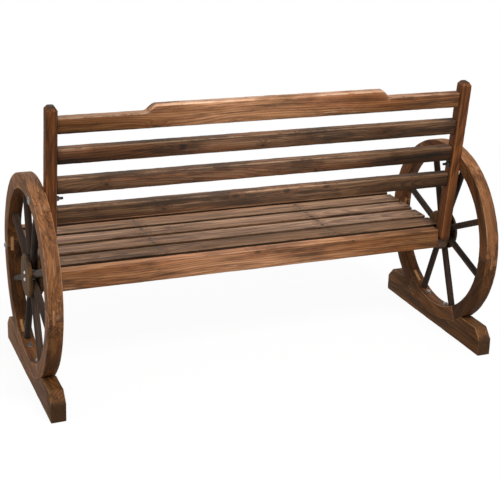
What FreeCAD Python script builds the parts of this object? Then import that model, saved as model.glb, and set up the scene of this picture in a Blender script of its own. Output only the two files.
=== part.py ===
# Garden bench: a slatted seat and a leaning slatted back between two posts,
# carried at each end by a wooden wagon wheel that stands in the notch of a foot.
# The bench faces -Y and its length runs along X. The feet stand on the plane Z = 0.
# "Right" is the side of +X and "left" the side of -X.
import FreeCAD, Part
import os
import re
import Sketcher

# Driving dimensions: millimetres, degrees and counts, with what each one measures
SIZES = (
    ("back_length", 1260, "length of crest rail and back slats, from post to post"),
    ("wheel_radius", 300, "outside radius of a wheel"),
    ("wheel_thickness", 42.5, "thickness of a wheel along X"),
    ("rim_width", 46, "radial width of the rim"),
    ("felloe_count", 6, "pieces in one rim"),
    ("lap_length", 25, "overlap of two felloes along the tread"),
    ("joint_angle", -2.4, "angle of the first felloe joint, from +Y towards +Z"),
    ("spoke_count", 8, "spokes in one wheel"),
    ("spoke_angle", 22.5, "angle of the first spoke, from +Y towards +Z"),
    ("spoke_diameter", 21, "diameter of a spoke"),
    ("spoke_start", 31, "distance of a spoke's inner end from the wheel's centre"),
    ("spoke_tip", 4, "length of the tapered inner end of a spoke"),
    ("spoke_tenon", 14, "depth of a spoke in the rim"),
    ("socket_clearance", 0.15, "play of a spoke all round in its socket and between the discs"),
    ("hub_radius", 64, "radius of a hub disc"),
    ("hub_bevel", 5.5, "radial width of the bevel round a hub disc"),
    ("hub_bevel_depth", 4, "depth of that bevel along X"),
    ("hub_screw_spacing", 21.3, "height between the two screws of a hub"),
    ("hub_screw_diameter", 6, "shank diameter of a hub screw"),
    ("hub_screw_head", 11, "head diameter of a hub screw"),
    ("hub_screw_dome", 3.5, "head height of a hub screw"),
    ("hub_screw_cover", 3, "wood left in front of the end of a hub screw"),
    ("foot_length", 603, "length of a foot along Y"),
    ("foot_offset", 1.1, "how far a foot's middle lies behind the wheel's centre"),
    ("foot_thickness", 44, "thickness of a foot along X"),
    ("foot_top", 86, "height of a foot"),
    ("foot_floor", 22.4, "wood left in a foot under its wheel"),
    ("foot_end", 54, "height of a foot's upright end"),
    ("foot_slope", 30, "length along Y of a foot's sloped end"),
    ("foot_round", 3, "rounding of a foot's edges"),
    ("notch_clearance", 0.3, "gap between a wheel and its notch"),
    ("foot_screw_angle", 13, "angle of a foot screw from the wheel's lowest point"),
    ("foot_screw_length", 64, "length of a foot screw under its head"),
    ("seat_rise", 25.7, "height of the seat's top above the wheels' centre"),
    ("seat_back", 65, "rear face of the seat behind the wheel's centre"),
    ("rail_thickness", 35, "thickness of front and rear rail along Y"),
    ("rail_depth", 62, "height of front and rear rail"),
    ("rail_round", 2.5, "rounding of the rails' edges"),
    ("seat_slat_count", 4, "slats between the two rails"),
    ("seat_slat_width", 70, "width of a seat slat"),
    ("seat_slat_thickness", 16.5, "thickness of a seat slat"),
    ("seat_slat_gap", 19.3, "gap between two seat slats"),
    ("seat_slat_end_gap", 0.5, "gap between a seat slat's end and the wheel"),
    ("seat_slat_round", 2.5, "rounding of a seat slat's edges"),
    ("support_width", 32, "width along X of a cross support"),
    ("support_place", 287, "distance of a cross support's middle from the bench's middle"),
    ("support_round", 2, "rounding of the edges of side rails and cross supports"),
    ("post_width", 32, "width of a post along X"),
    ("post_depth", 41, "depth of a post"),
    ("post_lean", 6.3, "angle by which posts and back lean backwards"),
    ("post_setback", 20, "rear face of a post behind the seat's rear face, at the seat's height"),
    ("post_over", 34.5, "length of a post above the crest rail's ends"),
    ("post_below", 36, "length of a post below the seat's height"),
    ("post_bevel", 7, "width of the bevel round a post's end"),
    ("post_bevel_depth", 10.5, "length of that bevel along the post"),
    ("post_round", 4.5, "rounding of a post's long edges"),
    ("back_inset", 9.7, "crest rail and back slats in front of the posts' rear face"),
    ("back_thickness", 29, "thickness of crest rail and back slats"),
    ("back_round", 4.5, "rounding of the edges of crest rail and back slats"),
    ("crest_height", 68.5, "height of the crest rail in its middle"),
    ("crest_middle", 358, "half the length of the crest rail's raised middle"),
    ("crest_step", 25, "length of the slope at each end of the raised middle"),
    ("back_slat_count", 3, "slats in the back, below the crest rail"),
    ("back_slat_height", 47, "height of a back slat and of the crest rail's ends"),
    ("back_pitch", 89, "distance along the post from one slat of the back to the next"),
    ("back_bolt_slat_count", 2, "back slats above the bolt in the post"),
    ("back_bolt_gap", 3.4, "gap between that bolt's washer and the back slat above it"),
    ("bolt_diameter", 8, "diameter of bolts and foot screws"),
    ("bolt_end", 20, "length of a bolt beyond the wood on its inner side"),
    ("bolt_head", 19, "diameter of a bolt's domed head"),
    ("bolt_dome", 4.5, "height of a bolt's domed head"),
    ("nut_width", 13, "width of a nut across its flats"),
    ("nut_height", 6.5, "height of a nut and of a foot screw's head"),
    ("washer_diameter", 22, "outside diameter of a washer"),
    ("foot_washer_diameter", 18, "outside diameter of a foot screw's washer"),
    ("washer_thickness", 1.6, "thickness of a washer"),
    ("seat_bolt_inset", 20, "distance of the bolt in the side rail from the wheel's outside"),
    ("seat_bolt_drop", 0.5, "gap between that bolt's washer and the seat slats above it"),
    ("back_bolt_inset", 30, "distance of the bolt in the post from the wheel's outside"),
    ("bolt_clearance", 0.3, "gap round a bolt in wood and washers"),
    ("thread_clearance", 0.1, "gap round a bolt in its nut"),
    ("slat_screw_diameter", 4, "shank diameter of the countersunk screws"),
    ("slat_screw_head", 8, "head diameter of the countersunk screws"),
    ("slat_screw_sink", 2.4, "head height of the countersunk screws"),
    ("slat_screw_length", 34, "length of a seat slat's screw"),
    ("slat_screw_offset", 20, "distance of a slat's screws from its middle line"),
    ("back_screw_length", 68, "length of the screws through the posts"),
    ("rail_screw_rise", 13, "rear rail's screw below the seat's height"),
    ("screw_clearance", 0.1, "gap round a screw or dowel in its bore"),
    ("dowel_diameter", 8, "diameter of a dowel"),
    ("dowel_length", 40, "length of a dowel"),
    ("dowel_offset", 7, "distance of two dowels of a joint from its middle"),
    ("dowel_rise", 15.5, "height of that middle above the rails' underside"),
    ("dowel_end_gap", 0.5, "gap at each end of a dowel"),
    ("overrun", 5, "how far cutting shapes run past what they cut"),
)

# Places worked out from the driving dimensions
DERIVED = {
    "wheel_height": "wheel_radius + notch_clearance + foot_floor",
    "seat_height": "wheel_height + seat_rise",
    "wheel_face": "back_length / 2 + post_width",
    "wheel_outer": "wheel_face + wheel_thickness",
    "rim_inner": "wheel_radius - rim_width",
    "rim_middle": "wheel_radius - rim_width / 2",
    "felloe_span": "360 / felloe_count",
    "lap_half_angle": "lap_length / wheel_radius / 2 * 180 / pi",
    "disc_thickness": "(wheel_thickness - spoke_diameter) / 2 - socket_clearance",
    "seat_depth": "2 * rail_thickness + seat_slat_count * seat_slat_width"
                  " + (seat_slat_count + 1) * seat_slat_gap",
    "wheel_y": "(seat_depth - seat_back - foot_length / 2 - foot_offset) / 2",
    "seat_rear": "wheel_y + seat_back",
    "seat_front": "seat_rear - seat_depth",
    "slat_pitch": "seat_slat_width + seat_slat_gap",
    "slat_start": "seat_front + rail_thickness + seat_slat_gap",
    "rail_bottom": "seat_height - rail_depth",
    "support_top": "seat_height - seat_slat_thickness",
    "dowel_middle": "rail_bottom + dowel_rise",
    "support_front": "seat_front + rail_thickness",
    "support_rear": "seat_rear - rail_thickness",
    "back_y": "seat_rear + post_setback",
    "slat_middle_depth": "back_inset + back_thickness / 2",
    "notch_floor": "seat_height - post_below * cos(post_lean)",
    "seat_bolt_reach": "wheel_radius - seat_bolt_inset",
    "back_bolt_reach": "wheel_radius - back_bolt_inset",
    "back_bolt_across": "(seat_back + post_setback) * cos(post_lean)"
                        " - (seat_height - wheel_height) * sin(post_lean) - post_depth / 2",
    "back_bolt_along": "(seat_back + post_setback) * sin(post_lean)"
                       " + (seat_height - wheel_height) * cos(post_lean)",
    "back_bolt_rise": "sqrt(back_bolt_reach ^ 2 - back_bolt_across ^ 2) - back_bolt_along",
    "crest_place": "back_bolt_rise + washer_diameter / 2 + back_bolt_gap"
                   " + back_bolt_slat_count * back_pitch",
    "post_above": "crest_place + back_slat_height + post_over",
    "back_bolt_y": "back_y - post_depth / 2 * cos(post_lean) + back_bolt_rise * sin(post_lean)",
    "back_bolt_z": "seat_height + post_depth / 2 * sin(post_lean)"
                   " + back_bolt_rise * cos(post_lean)",
    "seat_bolt_z": "support_top - washer_diameter / 2 - seat_bolt_drop",
    "seat_bolt_y": "wheel_y - sqrt(seat_bolt_reach ^ 2 - (wheel_height - seat_bolt_z) ^ 2)",
    "bolt_dome_radius": "((bolt_head / 2) ^ 2 + bolt_dome ^ 2) / bolt_dome / 2",
    "bolt_dome_start": "wheel_outer + washer_thickness",
    "bolt_inner": "back_length / 2 - bolt_end",
    "hub_screw_dome_radius": "((hub_screw_head / 2) ^ 2 + hub_screw_dome ^ 2) / hub_screw_dome / 2",
    "foot_washer_seat": "sqrt(rim_inner ^ 2 - (foot_washer_diameter / 2) ^ 2)",
    "foot_head_seat": "foot_washer_seat - washer_thickness",
    "notch_radius": "wheel_radius + notch_clearance",
    "notch_half": "sqrt(notch_radius ^ 2 - (wheel_height - foot_top) ^ 2)",
    "foot_middle": "wheel_y + foot_offset",
}

# How far each spoke stands from its even place, as shares of the angle between two spokes
SPOKE_DRIFT_SHARES = {
    "right": (0.011, 0, -0.233, -0.078, -0.011, 0.011, -0.011, 0),
    "left": (0.033, 0, -0.111, 0.067, 0, 0.056, -0.022, 0.089),
}

# Where the two screws sit in the end of a back slat, as shares of its height
SCREW_SHARES = {"low": 0.25, "high": 0.75}

doc = FreeCAD.newDocument("bench")
sheet = doc.addObject("Spreadsheet::Sheet", "Sizes")
for row, (alias, number, meaning) in enumerate(SIZES, start=1):
    sheet.set("A%d" % row, meaning)
    sheet.set("B%d" % row, str(number))
    sheet.setAlias("B%d" % row, alias)
doc.recompute()
ALIASES = {alias for alias, number, meaning in SIZES}


def formula(text):
    """Write out a formula: derived names are expanded and sizes point at the sheet."""
    def word(match):
        name = match.group(0)
        if name in DERIVED:
            return "(" + formula(DERIVED[name]) + ")"
        return "Sizes." + name if name in ALIASES else name
    return re.sub(r"[a-z_]+", word, str(text))


def value(text):
    """Give the present number of a formula."""
    return float(sheet.evalExpression(formula(text)))


def count(name):
    """Give a count from the sheet as a whole number."""
    return int(round(value(name)))


def bind(thing, **formulas):
    """Bind properties of an object to formulas."""
    for prop, text in formulas.items():
        thing.setExpression(prop, formula(text))
    return thing


# Directions in which a piece that is made along Z can lie
ALONG_X = "rotation(vector(0; 1; 0); 90)"
AGAINST_X = "rotation(vector(0; 1; 0); -90)"
ALONG_Y = "rotation(vector(1; 0; 0); -90)"
DOWN = "rotation(vector(1; 0; 0); 180)"
UPRIGHT = "rotation(vector(1; 0; 0); 0)"
LEANING = "rotation(vector(1; 0; 0); -post_lean)"


def radial(angle):
    """Direction square to X, at an angle from +Y towards +Z."""
    return "rotation(vector(1; 0; 0); %s - 90)" % angle


def sector(angle):
    """Direction along X for a part of a disc whose first side lies at an angle."""
    return "rotation(90; -(%s); 90)" % angle


def place(thing, x="0", y="0", z="0", turn=UPRIGHT):
    """Bind the placement of an object."""
    text = "placement(vector(%s; %s; %s); %s)" % (x, y, z, turn)
    return bind(thing, Placement=text)


def cylinder(name, radius, height, x, y, z, turn=UPRIGHT, sweep="360"):
    """Add a cylinder, or a part of one, from its base in a direction."""
    solid = doc.addObject("Part::Cylinder", name)
    bind(solid, Radius=radius, Height=height, Angle=sweep)
    return place(solid, x, y, z, turn)


def cone(name, base, top, height, x, y, z, turn=UPRIGHT):
    """Add a cone from its base in a direction."""
    solid = doc.addObject("Part::Cone", name)
    bind(solid, Radius1=base, Radius2=top, Height=height)
    return place(solid, x, y, z, turn)


def fuse(name, *solids):
    """Join solids that make one piece."""
    whole = doc.addObject("Part::MultiFuse", name)
    whole.Shapes = list(solids)
    return whole


def cut(name, base, tool):
    """Cut a tool out of a base."""
    rest = doc.addObject("Part::Cut", name)
    rest.Base = base
    rest.Tool = tool
    return rest


def common(name, base, tool):
    """Keep what two solids share."""
    shared = doc.addObject("Part::Common", name)
    shared.Base = base
    shared.Tool = tool
    return shared


def group(name, solids):
    """Hold separate solids together as one object."""
    compound = doc.addObject("Part::Compound", name)
    compound.Links = list(solids)
    return compound


def origin_plane(body, role):
    """Find an origin plane of a body."""
    return next(f for f in body.Origin.OriginFeatures if f.Role == role)


def fix(sketch, kind, index, point, text, label):
    """Hold a sketch point at a distance from the origin that follows a formula."""
    number = sketch.addConstraint(Sketcher.Constraint(kind, -1, 1, index, point, value(text)))
    sketch.renameConstraint(number, label)
    sketch.setExpression("Constraints." + label, formula(text))


def outline(body, plane, points):
    """Draw a closed outline whose corners follow formulas.

    A corner with a third formula starts an arc of that radius, hollow as seen from
    outside. All the other sides are straight.
    """
    sketch = body.newObject("Sketcher::SketchObject", body.Name + "_outline")
    sketch.AttachmentSupport = [(origin_plane(body, plane), "")]
    sketch.MapMode = "FlatFace"
    corners = [FreeCAD.Vector(value(across), value(up), 0) for across, up, *bow in points]
    followers = corners[1:] + corners[:1]
    for (across, up, *bow), corner, after in zip(points, corners, followers):
        side = Part.LineSegment(corner, after)
        if bow:
            middle = (corner + after) / 2
            rise = (value(bow[0]) ** 2 - (after - middle).Length ** 2) ** 0.5
            circle = Part.Circle()
            circle.Radius = value(bow[0])
            circle.Center = middle + FreeCAD.Vector(0, rise, 0)
            side = Part.ArcOfCircle(circle, circle.parameter(after), circle.parameter(corner))
        sketch.addGeometry(side, False)
    for i, (across, up, *bow) in enumerate(points):
        follower = (i + 1) % len(points)
        start, end = (2, 1) if bow else (1, 2)
        follower_start = 2 if len(points[follower]) > 2 else 1
        sketch.addConstraint(Sketcher.Constraint("Coincident", i, end, follower, follower_start))
        fix(sketch, "DistanceX", i, start, across, "across_%d" % i)
        fix(sketch, "DistanceY", i, start, up, "up_%d" % i)
        if bow:
            number = sketch.addConstraint(Sketcher.Constraint("Radius", i, value(bow[0])))
            sketch.renameConstraint(number, "bow_%d" % i)
            sketch.setExpression("Constraints.bow_%d" % i, formula(bow[0]))
    return sketch


def padded(name, plane, points, length, rounding):
    """Make a body from an outline: a pad with all its edges rounded."""
    body = doc.addObject("PartDesign::Body", name)
    sketch = outline(body, plane, points)
    pad = body.newObject("PartDesign::Pad", name + "_pad")
    pad.Profile = sketch
    bind(pad, Length=length)
    doc.recompute()
    rounded = body.newObject("PartDesign::Fillet", name + "_edges")
    rounded.Base = (pad, ["Edge1"])
    rounded.UseAllEdges = True
    bind(rounded, Radius=rounding)
    body.Tip = rounded
    return body


def rectangle(low, high, bottom, top):
    """Corners of a rectangle between four formulas."""
    return [(low, bottom), (high, bottom), (high, top), (low, top)]


def board(name, y_low, y_high, z_low, z_high, length, rounding):
    """Make a board with a rectangular side view and a length along X."""
    return padded(name, "YZ_Plane", rectangle(y_low, y_high, z_low, z_high), length, rounding)


def sunk_screw(name, length, x, y, z, turn, gap="0"):
    """Make a countersunk screw from its head's face, or with a gap the bore for it."""
    radius = "slat_screw_diameter / 2 + " + gap
    shank = cylinder(name + "_shank", radius, length + " + " + gap, x, y, z, turn)
    head = cone(name + "_head", "slat_screw_head / 2 + " + gap, radius, "slat_screw_sink",
                x, y, z, turn)
    return fuse(name, shank, head)


nodes = []


def keep(thing, label):
    """Give a finished piece its name and list it for the export."""
    thing.Label = label
    nodes.append(thing)
    return thing


SIDES = {
    "right": {"sign": "1", "start": "wheel_face", "outward": ALONG_X, "inward": AGAINST_X},
    "left": {"sign": "-1", "start": "-wheel_outer", "outward": AGAINST_X, "inward": ALONG_X},
}

# Places of the bolts that join each wheel to the bench, and of the foot screws
BOLTS = {"back": ("back_bolt_y", "back_bolt_z"), "seat": ("seat_bolt_y", "seat_bolt_z")}
FOOT_ANGLES = {"front": "270 - foot_screw_angle", "rear": "270 + foot_screw_angle"}

# Bolts: a domed head on a washer outside, a nut on a washer inside
bolts, bolt_bores, washers, nuts = [], {}, [], []
for side, way in SIDES.items():
    sign = way["sign"]
    for end, (y, z) in BOLTS.items():
        name = "%s_bolt_%s" % (end, side)
        shank = cylinder(name + "_shank", "bolt_diameter / 2", "bolt_dome_start - bolt_inner",
                         sign + " * bolt_dome_start", y, z, way["inward"])
        dome = doc.addObject("Part::Sphere", name + "_dome")
        bind(dome, Radius="bolt_dome_radius", Angle1="asin(1 - bolt_dome / bolt_dome_radius)")
        place(dome, sign + " * (bolt_dome_start + bolt_dome - bolt_dome_radius)", y, z,
              way["outward"])
        bolts.append(fuse(name, shank, dome))
        bolt_bores[end, side] = cylinder(
            name + "_bore", "bolt_diameter / 2 + bolt_clearance",
            "wheel_outer - back_length / 2 + 2 * overrun",
            sign + " * (wheel_outer + overrun)", y, z, way["inward"])
        for spot, x in (("head", "bolt_dome_start"), ("nut", "back_length / 2")):
            disc = cylinder("%s_%s_disc" % (name, spot), "washer_diameter / 2", "washer_thickness",
                            sign + " * (%s)" % x, y, z, way["inward"])
            hole = cylinder("%s_%s_hole" % (name, spot), "bolt_diameter / 2 + bolt_clearance",
                            "washer_thickness + 2 * overrun",
                            sign + " * (%s + overrun)" % x, y, z, way["inward"])
            washers.append(cut("%s_%s_washer" % (name, spot), disc, hole))
        hexagon = doc.addObject("Part::Prism", name + "_hexagon")
        bind(hexagon, Circumradius="nut_width / 2 / cos(30)", Height="nut_height")
        place(hexagon, sign + " * (back_length / 2 - washer_thickness)", y, z, way["inward"])
        thread = cylinder(name + "_thread", "bolt_diameter / 2 + thread_clearance",
                          "nut_height + 2 * overrun",
                          sign + " * (back_length / 2 - washer_thickness + overrun)",
                          y, z, way["inward"])
        nuts.append(cut(name + "_nut", hexagon, thread))

# Foot screws: hexagon heads on washers inside the rim, shanks through the rim into the foot
foot_screws, foot_washers, foot_bores = [], [], {}


def from_centre(distance, angle):
    """Place in Y and Z at a distance and an angle from the wheels' centre."""
    return ("wheel_y + (%s) * cos(%s)" % (distance, angle),
            "wheel_height + (%s) * sin(%s)" % (distance, angle))


for side, way in SIDES.items():
    x = way["start"] + " + wheel_thickness / 2"
    for end, angle in FOOT_ANGLES.items():
        name = "foot_screw_%s_%s" % (end, side)
        turn = radial(angle)
        seat = from_centre("foot_head_seat", angle)
        shank = cylinder(name + "_shank", "bolt_diameter / 2", "foot_screw_length", x, *seat, turn)
        head = doc.addObject("Part::Prism", name + "_head")
        bind(head, Circumradius="nut_width / 2 / cos(30)", Height="nut_height")
        place(head, x, *from_centre("foot_head_seat - nut_height", angle), turn)
        foot_screws.append(fuse(name, shank, head))
        foot_bores[end, side] = cylinder(
            name + "_bore", "bolt_diameter / 2 + bolt_clearance",
            "foot_screw_length + bolt_clearance", x, *seat, turn)
        disc = cylinder(name + "_disc", "foot_washer_diameter / 2", "washer_thickness",
                        x, *seat, turn)
        hole = cylinder(name + "_hole", "bolt_diameter / 2 + bolt_clearance",
                        "washer_thickness + 2 * overrun",
                        x, *from_centre("foot_head_seat - overrun", angle), turn)
        foot_washers.append(cut(name + "_washer", disc, hole))

# Wheels: six half-lapped felloes, eight spokes and two hub discs each
hub_screws = []
for side, way in SIDES.items():
    sign, start = way["sign"], way["start"]
    middle = start + " + wheel_thickness / 2"
    tread = cylinder("tread_" + side, "wheel_radius", "wheel_thickness",
                     start, "wheel_y", "wheel_height", ALONG_X)
    opening = cylinder("opening_" + side, "rim_inner", "wheel_thickness + 2 * overrun",
                       start + " - overrun", "wheel_y", "wheel_height", ALONG_X)
    ring = cut("ring_" + side, tread, opening)
    bores = [bolt_bores[end, side] for end in BOLTS] + [foot_bores[end, side] for end in FOOT_ANGLES]
    for i in range(count("spoke_count")):
        drift = SPOKE_DRIFT_SHARES[side][i % len(SPOKE_DRIFT_SHARES[side])]
        angle = "(spoke_angle + (%d + (%s)) * 360 / spoke_count)" % (i, drift)
        name = "spoke_%s_%d" % (side, i + 1)
        y, z = from_centre("spoke_start + spoke_tip", angle)
        shaft = cylinder(name + "_shaft", "spoke_diameter / 2",
                         "rim_inner + spoke_tenon - spoke_start - spoke_tip",
                         middle, y, z, radial(angle))
        tip = cone(name + "_tip", "spoke_diameter / 2 - spoke_tip / 2", "spoke_diameter / 2",
                   "spoke_tip", middle, *from_centre("spoke_start", angle), radial(angle))
        keep(fuse(name, shaft, tip), name)
        bores.append(cylinder(name + "_socket", "spoke_diameter / 2 + socket_clearance",
                              "spoke_tenon + socket_clearance + overrun", middle,
                              *from_centre("rim_inner - overrun", angle), radial(angle)))
    rim = cut("rim_" + side, ring, group("rim_bores_" + side, bores))
    for i in range(count("felloe_count")):
        name = "felloe_%s_%d" % (side, i + 1)
        first = "joint_angle + %d * felloe_span" % i
        low = cylinder(name + "_low", "wheel_radius + overrun", "wheel_thickness / 2 + overrun",
                       start + " - overrun", "wheel_y", "wheel_height",
                       sector(first + " - lap_half_angle"), "felloe_span")
        high = cylinder(name + "_high", "wheel_radius + overrun", "wheel_thickness / 2 + overrun",
                        middle, "wheel_y", "wheel_height",
                        sector(first + " + lap_half_angle"), "felloe_span")
        keep(common(name, rim, fuse(name + "_span", low, high)), name)
    screw_bores = []
    for end, rise in (("low", "-hub_screw_spacing / 2"), ("high", "hub_screw_spacing / 2")):
        name = "hub_screw_%s_%s" % (end, side)
        z = "wheel_height + " + rise
        shank = cylinder(name + "_shank", "hub_screw_diameter / 2",
                         "wheel_thickness - hub_screw_cover",
                         sign + " * wheel_outer", "wheel_y", z, way["inward"])
        dome = doc.addObject("Part::Sphere", name + "_dome")
        bind(dome, Radius="hub_screw_dome_radius",
             Angle1="asin(1 - hub_screw_dome / hub_screw_dome_radius)")
        place(dome, sign + " * (wheel_outer + hub_screw_dome - hub_screw_dome_radius)",
              "wheel_y", z, way["outward"])
        hub_screws.append(fuse(name, shank, dome))
        screw_bores.append(cylinder(name + "_bore", "hub_screw_diameter / 2 + screw_clearance",
                                    "wheel_thickness - hub_screw_cover + screw_clearance",
                                    sign + " * wheel_outer", "wheel_y", z, way["inward"]))
    hub_bores = group("hub_bores_" + side, screw_bores)
    for spot, face, turn in (("inner", sign + " * wheel_face", way["inward"]),
                             ("outer", sign + " * wheel_outer", way["outward"])):
        name = "hub_disc_%s_%s" % (spot, side)
        back = sign + (" * (wheel_face + disc_thickness)" if spot == "inner"
                       else " * (wheel_outer - disc_thickness)")
        edge = sign + (" * (wheel_face + hub_bevel_depth)" if spot == "inner"
                       else " * (wheel_outer - hub_bevel_depth)")
        disc = cylinder(name + "_disc", "hub_radius", "disc_thickness - hub_bevel_depth",
                        back, "wheel_y", "wheel_height", turn)
        bevel = cone(name + "_bevel", "hub_radius", "hub_radius - hub_bevel", "hub_bevel_depth",
                     edge, "wheel_y", "wheel_height", turn)
        keep(cut(name, fuse(name + "_turned", disc, bevel), hub_bores), name)

# Feet: a beam with sloped ends and a notch that the wheel stands in
FOOT = [
    ("foot_middle - foot_length / 2", "0"),
    ("foot_middle + foot_length / 2", "0"),
    ("foot_middle + foot_length / 2", "foot_end"),
    ("foot_middle + foot_length / 2 - foot_slope", "foot_top"),
    ("wheel_y + notch_half", "foot_top", "notch_radius"),
    ("wheel_y - notch_half", "foot_top"),
    ("foot_middle - foot_length / 2 + foot_slope", "foot_top"),
    ("foot_middle - foot_length / 2", "foot_end"),
]
for side, way in SIDES.items():
    name = "foot_" + side
    body = padded(name + "_blank", "YZ_Plane", FOOT, "foot_thickness", "foot_round")
    place(body, "wheel_outer - foot_thickness" if side == "right" else "-wheel_outer")
    bores = group(name + "_bores", [foot_bores[end, side] for end in FOOT_ANGLES])
    keep(cut(name, body, bores), name)

# Screws through the posts into the ends of the crest rail, the back slats and the rear rail
BACK = {"crest_rail": "crest_place"}
for i in range(count("back_slat_count")):
    BACK["back_slat_%d" % (i + 1)] = "(crest_place - %d * back_pitch)" % (i + 1)


def on_back(depth, rise):
    """Place in Y and Z at a depth in front of the posts' rear face and a rise along them."""
    return ("back_y - (%s) * cos(post_lean) + (%s) * sin(post_lean)" % (depth, rise),
            "seat_height + (%s) * sin(post_lean) + (%s) * cos(post_lean)" % (depth, rise))


back_screws, back_bores = [], []
for side, way in SIDES.items():
    x = way["sign"] + " * wheel_face"
    spots = [(piece, half, on_back("slat_middle_depth", "%s + back_slat_height * %s" % (low, share)))
             for piece, low in BACK.items()
             for half, share in SCREW_SHARES.items()]
    spots.append(("rear_rail", "end", ("(support_rear + seat_rear) / 2 + post_bevel",
                                       "seat_height - rail_screw_rise")))
    for piece, half, (y, z) in spots:
        name = "%s_screw_%s_%s" % (piece, half, side)
        where = ("back_screw_length", x, y, z, way["inward"])
        back_screws.append(sunk_screw(name, *where))
        back_bores.append(sunk_screw(name + "_bore", *where, gap="screw_clearance"))

# Screws through the seat slats into side rails and cross supports
SUPPORTS = {
    "left": "-(back_length / 2 + post_width / 2)",
    "middle_left": "-support_place",
    "middle_right": "support_place",
    "right": "back_length / 2 + post_width / 2",
}
slat_screws, slat_bores = [], []
for i in range(count("seat_slat_count")):
    line = "slat_start + %d * slat_pitch + seat_slat_width / 2" % i
    for support, x in SUPPORTS.items():
        for half, step in (("front", " - slat_screw_offset"), ("rear", " + slat_screw_offset")):
            name = "slat_screw_%d_%s_%s" % (i + 1, support, half)
            where = (x, line + step, "seat_height", DOWN)
            slat_screws.append(sunk_screw(name, "slat_screw_length", *where))
            slat_bores.append(sunk_screw(name + "_bore", "slat_screw_length", *where,
                                         gap="screw_clearance"))

# Dowels in the joints of the seat frame
dowels, dowel_bores = [], []


def dowel(name, x, y, z, turn):
    """Make a dowel and its bore, centred in a joint, along X or Y."""
    along_x = turn == ALONG_X
    for made, reach, radius in (
            (dowels, "dowel_length / 2", "dowel_diameter / 2"),
            (dowel_bores, "(dowel_length / 2 + dowel_end_gap)", "dowel_diameter / 2 + screw_clearance")):
        suffix = "" if made is dowels else "_bore"
        made.append(cylinder(name + suffix, radius, "2 * " + reach,
                             "%s - %s" % (x, reach) if along_x else x,
                             y if along_x else "%s - %s" % (y, reach), z, turn))


for support, x in SUPPORTS.items():
    for half, step in (("low", " - dowel_offset"), ("high", " + dowel_offset")):
        height = "dowel_middle" + step
        dowel("dowel_front_%s_%s" % (support, half), x, "support_front", height, ALONG_Y)
        if support.startswith("middle"):
            dowel("dowel_rear_%s_%s" % (support, half), x, "support_rear", height, ALONG_Y)
for side, way in SIDES.items():
    dowel("dowel_corner_" + side, way["sign"] + " * back_length / 2",
          "(support_rear + seat_rear) / 2", "(rail_bottom + notch_floor) / 2", ALONG_X)

# Posts: leaning bars with rounded long edges and bevelled ends
for side, way in SIDES.items():
    name = "post_" + side
    rounded = padded(name + "_rounded", "XY_Plane", rectangle("0", "post_width", "-post_depth", "0"),
                     "post_above + post_below + 2 * overrun", "post_round")
    place(rounded, "0", "0", "-post_below - overrun")
    bar = doc.addObject("Part::Box", name + "_bar")
    bind(bar, Length="post_width", Width="post_depth",
         Height="post_above + post_below - 2 * post_bevel_depth")
    place(bar, "0", "-post_depth", "post_bevel_depth - post_below")
    ends = []
    for spot, z, at_low, at_high in (
            ("bottom", "-post_below", "post_bevel", "0"),
            ("top", "post_above - post_bevel_depth", "0", "post_bevel")):
        wedge = doc.addObject("Part::Wedge", "%s_%s" % (name, spot))
        bind(wedge, Ymin="0", Ymax="post_bevel_depth",
             Xmin=at_low, Zmin=at_low, X2min=at_high, Z2min=at_high,
             Xmax="post_width - " + at_low, Zmax="post_depth - " + at_low,
             X2max="post_width - " + at_high, Z2max="post_depth - " + at_high)
        place(wedge, "0", "0", z, "rotation(vector(1; 0; 0); 90)")
        ends.append(wedge)
    blank = common(name + "_blank", rounded, fuse(name + "_bevelled", bar, *ends))
    start = "back_length / 2" if side == "right" else "-(back_length / 2 + post_width)"
    place(blank, start, "back_y", "seat_height", LEANING)
    bores = group(name + "_bores", [bolt_bores["back", side]] + back_bores)
    keep(cut(name, blank, bores), name)

# Crest rail and back slats, between the posts
CREST = [
    ("-back_length / 2", "crest_place"),
    ("back_length / 2", "crest_place"),
    ("back_length / 2", "crest_place + back_slat_height"),
    ("crest_middle + crest_step", "crest_place + back_slat_height"),
    ("crest_middle", "crest_place + crest_height"),
    ("-crest_middle", "crest_place + crest_height"),
    ("-(crest_middle + crest_step)", "crest_place + back_slat_height"),
    ("-back_length / 2", "crest_place + back_slat_height"),
]
back_bore_group = group("back_bores", back_bores)
for name, low in BACK.items():
    corners = CREST if name == "crest_rail" else rectangle(
        "-back_length / 2", "back_length / 2", low, low + " + back_slat_height")
    body = padded(name + "_blank", "XZ_Plane", corners, "back_thickness", "back_round")
    place(body, "0", "back_y - back_inset * cos(post_lean)",
          "seat_height + back_inset * sin(post_lean)", LEANING)
    keep(cut(name, body, back_bore_group), name)

# Seat frame: front and rear rail, side rails notched for the posts, cross supports
dowel_bore_group = group("dowel_bores", dowel_bores)
slat_bore_group = group("slat_bores", slat_bores)
front = board("front_rail_blank", "seat_front", "support_front", "rail_bottom", "seat_height",
              "2 * wheel_face", "rail_round")
place(front, "-wheel_face")
keep(cut("front_rail", front, dowel_bore_group), "front_rail")

rear = board("rear_rail_blank", "support_rear", "seat_rear", "rail_bottom", "seat_height",
             "back_length", "rail_round")
place(rear, "-back_length / 2")
rear_bores = group("rear_rail_bores", dowel_bores + back_bores)
keep(cut("rear_rail", rear, rear_bores), "rear_rail")

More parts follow.
